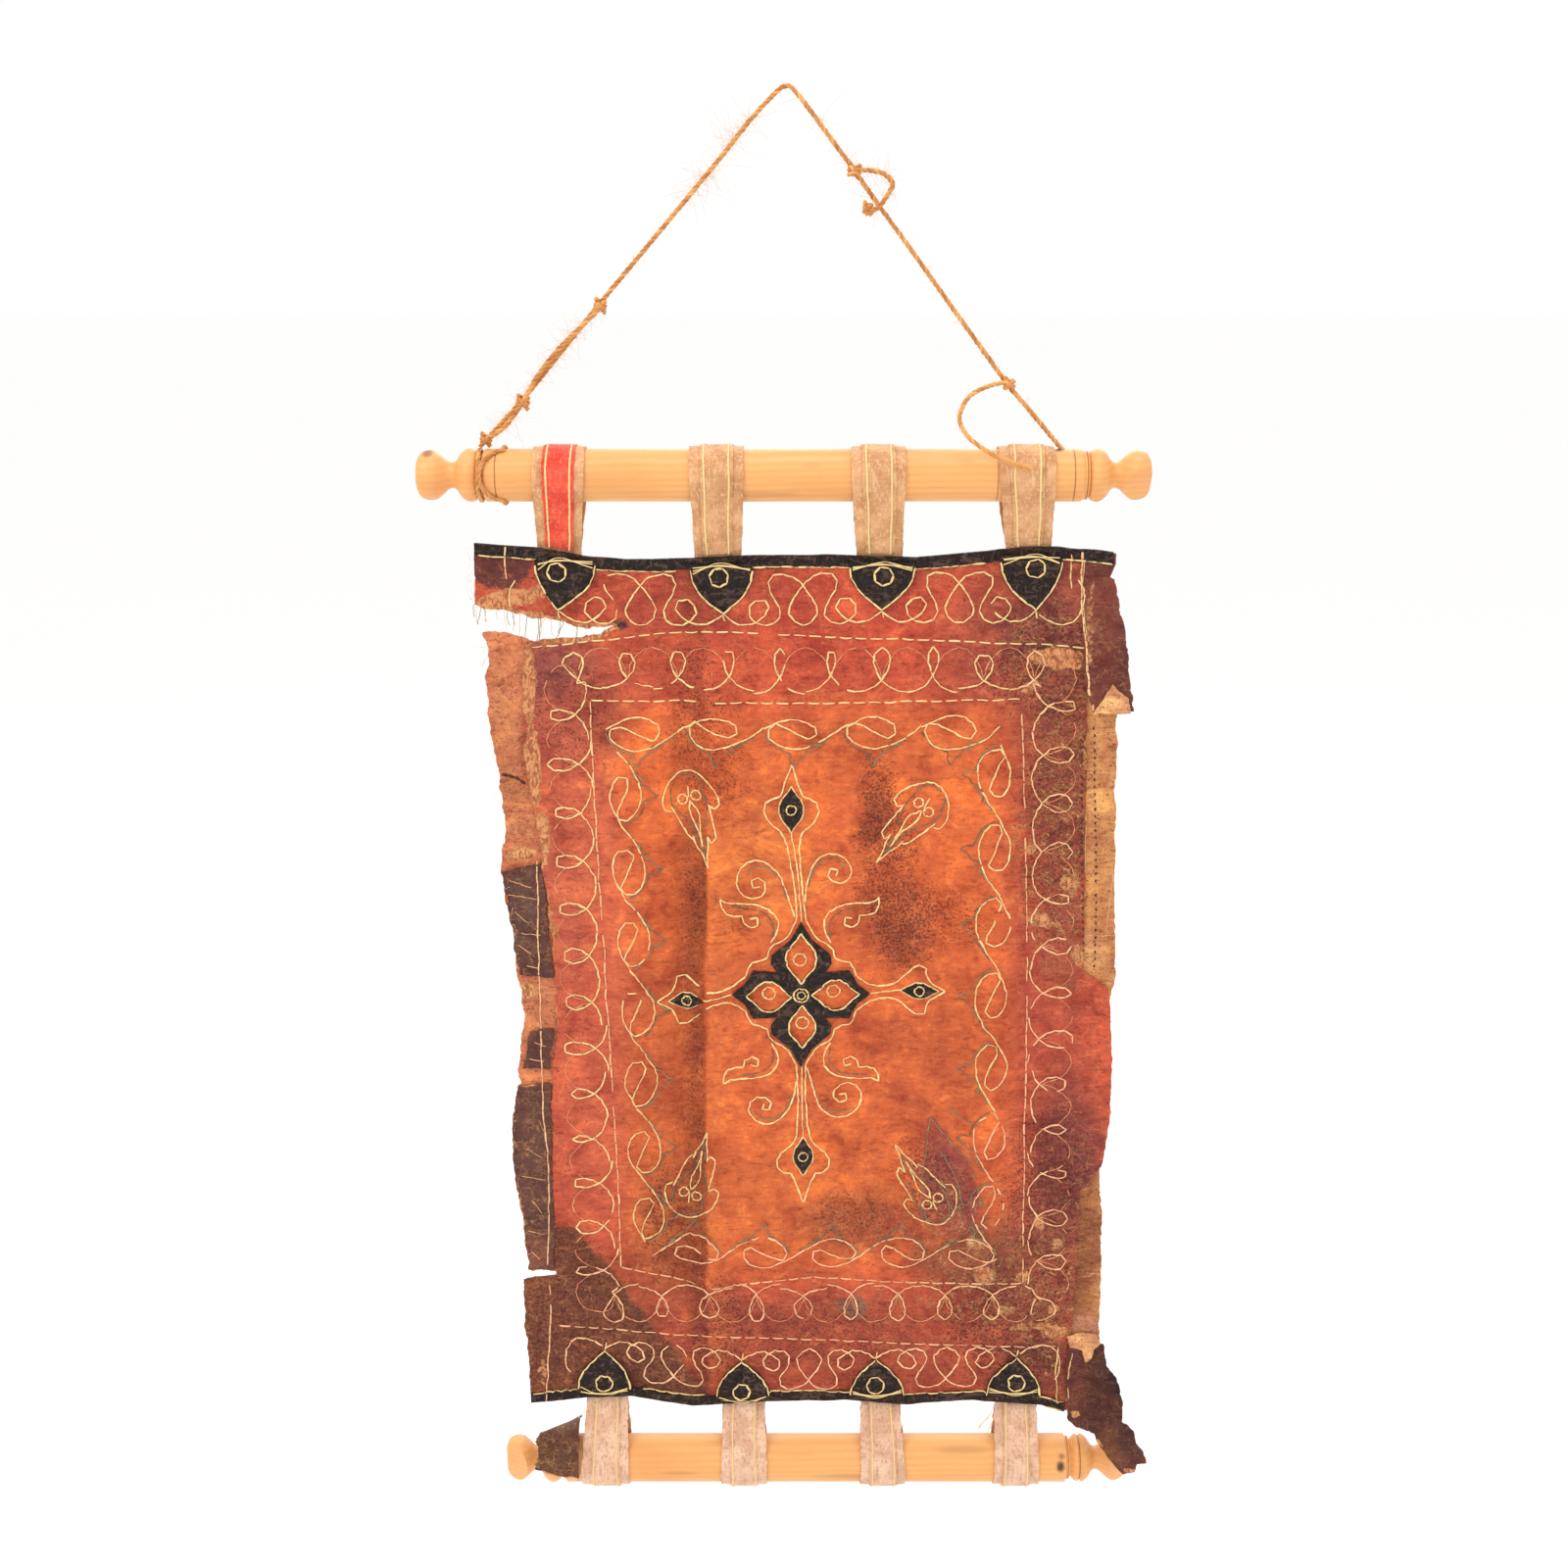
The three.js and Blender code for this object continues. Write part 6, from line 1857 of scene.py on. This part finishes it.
CURL_BACK = [
    (63.7, 81), (62.3, 71.5), (57, 66.5), (47.5, 66.8), (47, 62), (42, 57), (35.5, 58), (34, 63),
    (37, 66), (41.5, 64),
]
CURL_INSIDE = [(24, 48), (22, 57), (25, 65), (33, 71), (44, 73), (55, 74.5)]
PETAL_RINGS = [(11, -672), (13, -726), (-14, -701), (38, -699)]
MIDDLE = MEDALLION[:2]
STEMS = [
    [(12, -640), (10, -605), (4, -566)], [(12.5, -764), (13, -800), (14, -828)],
    [(68, -702), (94, -700)], [(-44, -702), (-68, -708)],
]
# How far the buds at the ends lie off the medallion's own middle lines
BUD_SHIFT = {1: -8, -1: 2}
ARM_SHIFT = {1: 2, -1: -7}


def sew_middle():
    for side in (1, -1):
        for up in (1, -1):

            def placed(points):
                local = np.array(points, float)
                across = side * local[:, 0] + BUD_SHIFT[up] * smooth((local[:, 1] - 60) / 90)
                rise = up * local[:, 1] * (1 if up > 0 else 0.95)
                rise = rise + ARM_SHIFT[side] * smooth((local[:, 0] - 50) / 40) * (local[:, 1] < 40)
                return np.stack([MIDDLE[0] + across, MIDDLE[1] + rise], axis=1)

            seed = 500 + 2 * side + 4 * up
            spiral = SMALL_SPIRAL if side == up else BIG_SPIRAL
            for k, line in enumerate((HEART_LINE, ARM_LINE, SHOULDER_LINE, spiral, CURL, CURL_BACK)):
                sew(CREAM, placed(line), 6.8, 1.3, 0.1, seed=seed + 20 * k, shade=0.8, dropped=0,
                    wander=0.25)
            inner = np.array(spiral[1:6], float) * (0.9, 0.985) + (1, -2.5)
            sew(GREY, placed(inner), 6.5, 1.0, 0.4, seed=seed + 170, shade=0.7)
            sew(GREY, placed(CURL_INSIDE), 6.5, 1.0, 0.4, seed=seed + 180, shade=0.4)
    for k, stem in enumerate(STEMS):
        sew(CREAM, stem, 8, 1.1, 0.3, seed=520 + k, shade=0.75, dropped=0, wander=0.2)
    for k, (x, z, w, h, lying) in enumerate(PETALS):
        sew_rim(almond(MIDDLE[0] + x, MIDDLE[1] + z, w + 0.6, h + 0.6, lying), 540 + k)
    for k, (x, z) in enumerate(PETAL_RINGS):
        sew_ring(CREAM, x, z, 5.5, 7, 1.2, 550 + k)
    sew_ring(CREAM, *MIDDLE, 6.2, 8, 1.2, 560)
    sew_ring(CREAM, *MIDDLE, 3.4, 6, 1.1, 561)
    for k, (x, z, w, h, lying) in enumerate(BUDS.values()):
        sew_rim(almond(x, z, w + 0.9, h + 1.2, lying), 570 + k)
        sew_ring(CREAM, x, z, 4.2, 7, 1.2, 580 + k)


def sew_rim(rim, seed):
    """A line round an almond, which keeps its two points."""
    half = len(rim) // 2
    for k, line in enumerate((rim[:half + 1], np.vstack([rim[half:], rim[:1]]))):
        sew(CREAM, line, 6.6, 1.25, 0.1, seed=seed + 30 * k, shade=0.85, dropped=0, wander=0.1)


# Corner flowers: local lines with the tip straight down, turned towards the tip's direction
FLOWER_CREAM = [
    [(-14.4, -6.8), (-17.4, -6), (-19, -0.7), (-17.6, 3.3), (-14, 10), (-8.5, 15), (-2.2, 18.2), (6.4, 17.8),
     (11.6, 12.9), (16, 6.8), (18.8, -1), (19.3, -8.2), (16.1, -11.2), (12.3, -9.1), (11.2, -7.1)],
    [(-13.5, -3.8), (-11, -14.8), (-8.4, -25.3), (-5.3, -30)],
    [(-4.6, -27.4), (-4.7, -31.8), (-2.1, -38.4), (0, -51)],
    [(0, -51), (2.3, -40.2), (4.5, -34.2), (5.3, -29)],
    [(11.9, -8.4), (11.6, -17.6), (11.2, -29.5), (9.5, -34), (6, -34), (5.3, -29)],
    [(0.9, 7.6), (-0.4, -0.2)],
    [(0, -2.6), (-2.3, -8.4), (-1.6, -16.2), (0.3, -25.5), (0, -35.7)],
    [(0, -35.7), (0.9, -27.2), (2.7, -19.6), (3.8, -12.2), (0.5, -3.5)],
]
FLOWER_GREY = [
    [(-7.5, 14.8), (-10.6, 8), (-12.8, -0.2), (-10.2, -7.4), (-3.4, -19), (-1.6, -28.2), (0, -42)],
    [(0, -42), (3.5, -29.6)],
    [(-2.6, 16.7), (5.8, 15.6), (10.2, 11.7), (10.5, 4.5), (10.8, -6.5), (8.4, -13.5), (6.2, -21.6)],
]
FLOWER_RINGS = [(-4.8, -0.4), (4.8, 0.4)]
FLOWER_SIZE = 1.16
# Each flower: x, z, the direction of its tip, and 1 or -1 for its handedness
FLOWERS = [
    (-77, -538, 13, -50, 1), (109, -546, -40, -50, -1), (-80, -880, 13, 50, -1), (122, -885, -32, 50, 1),
]


def sew_flowers():
    for k, (x, z, tip_x, tip_z, hand) in enumerate(FLOWERS):
        turn = math.atan2(tip_x, -tip_z)
        c, s = math.cos(turn), math.sin(turn)

        def placed(points):
            local = FLOWER_SIZE * np.array(points, float)
            across = local[:, 0] * hand
            return np.stack([x + across * c - local[:, 1] * s, z + across * s + local[:, 1] * c], axis=1)

        tone = down_the_leather(z, 0.85, 0.6)
        for m, line in enumerate(FLOWER_CREAM):
            sew(CREAM, placed(line), 6.2, 1.2, 0.1, seed=600 + 20 * k + m, shade=tone, dropped=0,
                wander=0.25)
        for m, line in enumerate(FLOWER_GREY):
            sew(GREY, placed(line), 6, 1.0, 0.3, seed=610 + 20 * k + m, shade=0.45)
        for m, (ring_x, ring_z) in enumerate(placed(FLOWER_RINGS)):
            sew_ring(CREAM, ring_x, ring_z, 4.2, 7, 1.2, 615 + 20 * k + m, tone)


# Lines along the bindings, stepping round each shield, with lacing and a ring on the shield
TOP_RINGS = [(-177, -358), (-52, -362), (75, -361), (192, -355)]
BOTTOM_RINGS = [(-155, -1052), (-38, -1060), (76, -1054), (196, -1052)]


def sew_edges():
    for edge, rows, rings, outward in (
            (TOP_EDGE, TOP_SHIELDS, TOP_RINGS, 1), (BOTTOM_EDGE, BOTTOM_SHIELDS, BOTTOM_RINGS, -1)):
        xs, zs = [p[0] for p in edge], [p[1] for p in edge]
        first, last = edge[0][0] + 2, edge[-1][0] - 2
        stops = [first]
        for row in rows:
            stops += [row[0] + 1, row[1] - 1]
        stops.append(last)
        for i, (a, b) in enumerate(zip(stops[::2], stops[1::2])):
            x = np.linspace(a, b, 8)
            line = np.stack([x, np.interp(x, xs, zs) - outward * (BINDING_HEIGHT + 0.3)], axis=1)
            sew(CREAM, line, 10, 1.25, 0.4, seed=700 + i + 10 * outward, shade=0.8, dropped=0, wander=0.3)
        for i, (row, (ring_x, ring_z)) in enumerate(zip(rows, rings)):
            left, right, base, tip_x, tip_z = row
            rim = shield_outline(row, -0.6)
            inside = outward * (rim[:, 1] - base) < -4
            tip = int(np.argmin(outward * rim[:, 1]))
            for k, part in enumerate((rim[:tip + 1][inside[:tip + 1]], rim[tip:][inside[tip:]])):
                sew(CREAM, part, 8.5, 1.3, 0.15, seed=720 + i + 10 * outward + 30 * k, shade=0.8,
                    dropped=0, wander=0.3)
            tail = [(tip_x, tip_z), (tip_x + 1.5, tip_z - outward * 6)]
            sew(CREAM, tail, 6, 1.0, 0.2, straight=True, seed=740 + i, shade=0.7, dropped=0)
            sew_ring(CREAM, ring_x, ring_z, 7.6, 7, 1.4, 750 + i + 10 * outward, 0.8)
            rng = np.random.default_rng(760 + i + 10 * outward)
            for bow, level in ((3.5, 4.5), (0.5, 6.0), (-1.5, 7.5)):
                a, b = rng.normal(0, 1.2, 2)
                lace = [
                    (left + 3, ring_z + outward * (level + a)),
                    (ring_x, ring_z + outward * (level + 3 + bow)),
                    (right - 3, ring_z + outward * (level + b))]
                lace = smooth_line([(p[0], 0, p[1]) for p in lace], 2.5)
                lay_thread(CREAM, lace[:, [0, 2]], 0.42, 0.85)


def lay_thread(pool, flat, radius, shade):
    """One long thread lying on the leather."""
    y = np.array([front_of(x, z) for x, z in flat])
    y = np.where(np.isnan(y), np.nanmean(y), y)
    line = np.stack([flat[:, 0], y - radius - GAP, flat[:, 1]], axis=1)
    pool.add(tube(line, radius, 6), shade)


# Old seams: points, pool, stitch length, width and shade
SEAMS = [
    ([(219, -344), (219, -355), (220, -371)], CREAM, 7, 1.1, 0.5),
    ([(228, -342), (228, -371), (230, -394), (233, -417), (236, -448), (240, -467)], RUST, 6, 1.6, 0.7),
    ([(230, -350), (229, -380), (233, -408)], CREAM, 9, 0.6, 0.6),
    ([(-216, -337), (-216.5, -350), (-216, -364)], RUST, 8, 1.4, 0.9),
    ([(-199, -591), (-200, -691), (-200, -810), (-197, -859), (-200, -943)], RUST, 9, 1.1, 0.75),
    ([(-200, -943), (-199, -988), (-203, -1040), (-205, -1071)], RUST, 9, 1.1, 0.8),
    ([(231, -1020), (230, -1040), (233, -1081)], CREAM, 8, 1.2, 0.3),
    ([(243, -1024), (240, -1045), (242, -1081)], CREAM, 8, 1.2, 0.3),
    ([(237, -519), (250, -518), (261, -519)], RUST, 6, 0.7, 0.5),
    ([(242, -653), (266, -653)], RUST, 6, 0.7, 0.5),
    # These two rows are empty needle holes, drawn as dark marks of painted shade.
    ([(-235, -522), (-221, -520), (-206, -526)], HOLE_SHADE_MARKS, 5, 2.2, 0.1),
    ([(-233, -524), (-222, -523)], HOLE_SHADE_MARKS, 5, 1.8, 0.1),
    ([(222, -1075), (238, -1080), (252, -1088), (262, -1092)], CREAM, 7, 1.4, 0.7),
]
# Pale cuts across the old dark border, each from x, z to x, z
CUTS = [
    (-222, -606, -204, -612), (-224, -618, -200, -622), (-218, -632, -208, -641), (-222, -650, -198, -652),
    (-216, -660, -206, -668), (-220, -676, -200, -680), (-204, -812, -198, -826), (-214, -838, -202, -846),
    (-220, -862, -200, -866), (-212, -884, -204, -896), (-216, -912, -202, -915), (-214, -930, -206, -938),
    (-206, -744, -196, -748), (-210, -758, -198, -760), (238, -540, 240, -604), (262, -600, 258, -650),
]
# Darning on the scar at lower right
SCAR_LINES = [
    [(119, -810), (131, -826), (149, -845), (158, -866), (162, -889)],
    [(119, -810), (116, -840), (113, -870), (113, -898), (130, -916)],
    [(134, -800), (148, -812), (160, -818)], [(128, -840), (140, -862), (148, -890)],
    [(122, -862), (134, -880), (138, -902)],
]
# Rows of empty needle holes in the right strip, drawn as dark marks of painted shade
HOLE_LINES = [[(242, -479), (246, -560), (249, -620), (250, -682)], [(232, -488), (236, -580), (240, -668)]]


def sew_seams():
    for k, (line, pool, length, width, shade) in enumerate(SEAMS):
        sew(pool, line, length, width, 0.3, seed=800 + k, shade=shade, dropped=0.05, wander=0.5)
    for k, (x1, z1, x2, z2) in enumerate(CUTS):
        sew(RUST, [(x1, z1), (x2, z2)], 9, 0.55, 0.3, straight=True, seed=830 + k, shade=0.6)
    for k, line in enumerate(SCAR_LINES):
        sew(GREY, line, 6, 0.95, 0.3, seed=850 + k, shade=0.7)
    for k, line in enumerate(HOLE_LINES):
        sew(HOLE_SHADE_MARKS, line, 2.4, 1.3, 3.6, seed=860 + k, shade=0.4, wander=0.3)


# Thread ends that hang by the lower straps: x, z, length and lean
HANGING_ENDS = [(176, -1078, 16, -9), (178, -1080, 22, -5), (174, -1082, 12, -8), (-170, -1076, 8, -6)]


def sew_straps():
    for strips, share, shade in ((TOP_GRIDS, 0.37, 0.9), (BOTTOM_GRIDS, 0.41, 0.7)):
        for k, (grid, normal) in enumerate(strips):
            for m, side in enumerate((-share, share)):
                seam_on(CREAM, grid, normal, side, 0.72, 870 + 4 * k + m, shade)
    for k, (grid, _) in enumerate(BOTTOM_GRIDS):
        for column in (0, -1):
            hairs(CREAM, grid[:, column], 16, 4.5, 890 + k, 1.0, 0.22)
        hairs(CREAM, grid[-14:, 3], 8, 6, 895 + k, 1.2, 0.25)
    for k, (grid, _) in enumerate(TOP_GRIDS):
        hairs(CREAM, grid[:, 0], 7, 4, 900 + k, 1.0, 0.18)
    t = np.linspace(0, 1, 8)[:, None]
    for x, z, drop, lean in HANGING_ENDS:
        line = np.hstack([x + lean * t + 1.5 * np.sin(5 * t), -3.2 - 2 * t, z - drop * t ** 1.4])
        CREAM.add(tube(line, 0.4, 5), 0.6)


# Fibres along the torn left edge: two ends of a stretch, their number and reach
EDGE_FIBRES = [
    ([(-222, -600), (-213, -720)], 26, 6), ([(-224, -780), (-226, -860)], 26, 7),
    ([(-227, -820), (-218, -940)], 26, 7), ([(-236, -406), (-228, -560)], 20, 5),
    ([(-244, -388), (-243, -340)], 12, 6), ([(-222, -956), (-218, -1060)], 22, 4),
]


def loose_threads():
    """Threads left across the tear and fibres along the torn left edge."""
    rng = np.random.default_rng(910)
    t = np.linspace(0, 1, 7)[:, None]
    for x, z in resample(np.array(TEAR[4:], float), 2.0):
        if rng.uniform() < 0.45 or x > -160:
            continue
        long = rng.uniform(8, 20)
        bend = rng.uniform(-7, 3)
        across = x + bend * t ** 1.3 + rng.normal(0, 0.3, (7, 1))
        thread_line = np.hstack([across, -2.8 - 0.8 * t, z + 1 - long * t])
        pool = GREY if rng.uniform() < 0.6 else RUST
        pool.add(tube(thread_line, 0.24, 4), rng.uniform(0.3, 1))
    for edge, count, reach in EDGE_FIBRES:
        side = resample(np.array(edge, float), 2.0)
        along = np.stack([side[:, 0], -1.2 + 0 * side[:, 0], side[:, 1]], axis=1)
        hairs(RUST, along, count, reach, int(-edge[0][1]), 1.2, 0.2)


# Painted shade: the dark inside empty needle holes.
HOLE_SHADOW = thread("needle_holes", (58, 28, 16), (84, 44, 26))
CREAM_THREAD = thread("pale_thread", (214, 160, 96), (240, 214, 150))
RUST_THREAD = thread("rust_thread", (204, 122, 82), (248, 200, 150))
GREY_THREAD = thread("grey_thread", (84, 66, 52), (142, 130, 96))


def sew_everything():
    sew_frames()
    sew_bands()
    sew_chain()
    sew_vines()
    sew_middle()
    sew_flowers()
    sew_edges()
    sew_seams()
    sew_straps()
    loose_threads()
    HOLE_SHADE_MARKS.build("needle_holes", HOLE_SHADOW, "tan_leather")
    CREAM.build("pale_stitching", CREAM_THREAD, "panel_leather")
    RUST.build("rust_stitching", RUST_THREAD, "panel_leather")
    GREY.build("grey_stitching", GREY_THREAD, "panel_leather")


sew_everything()
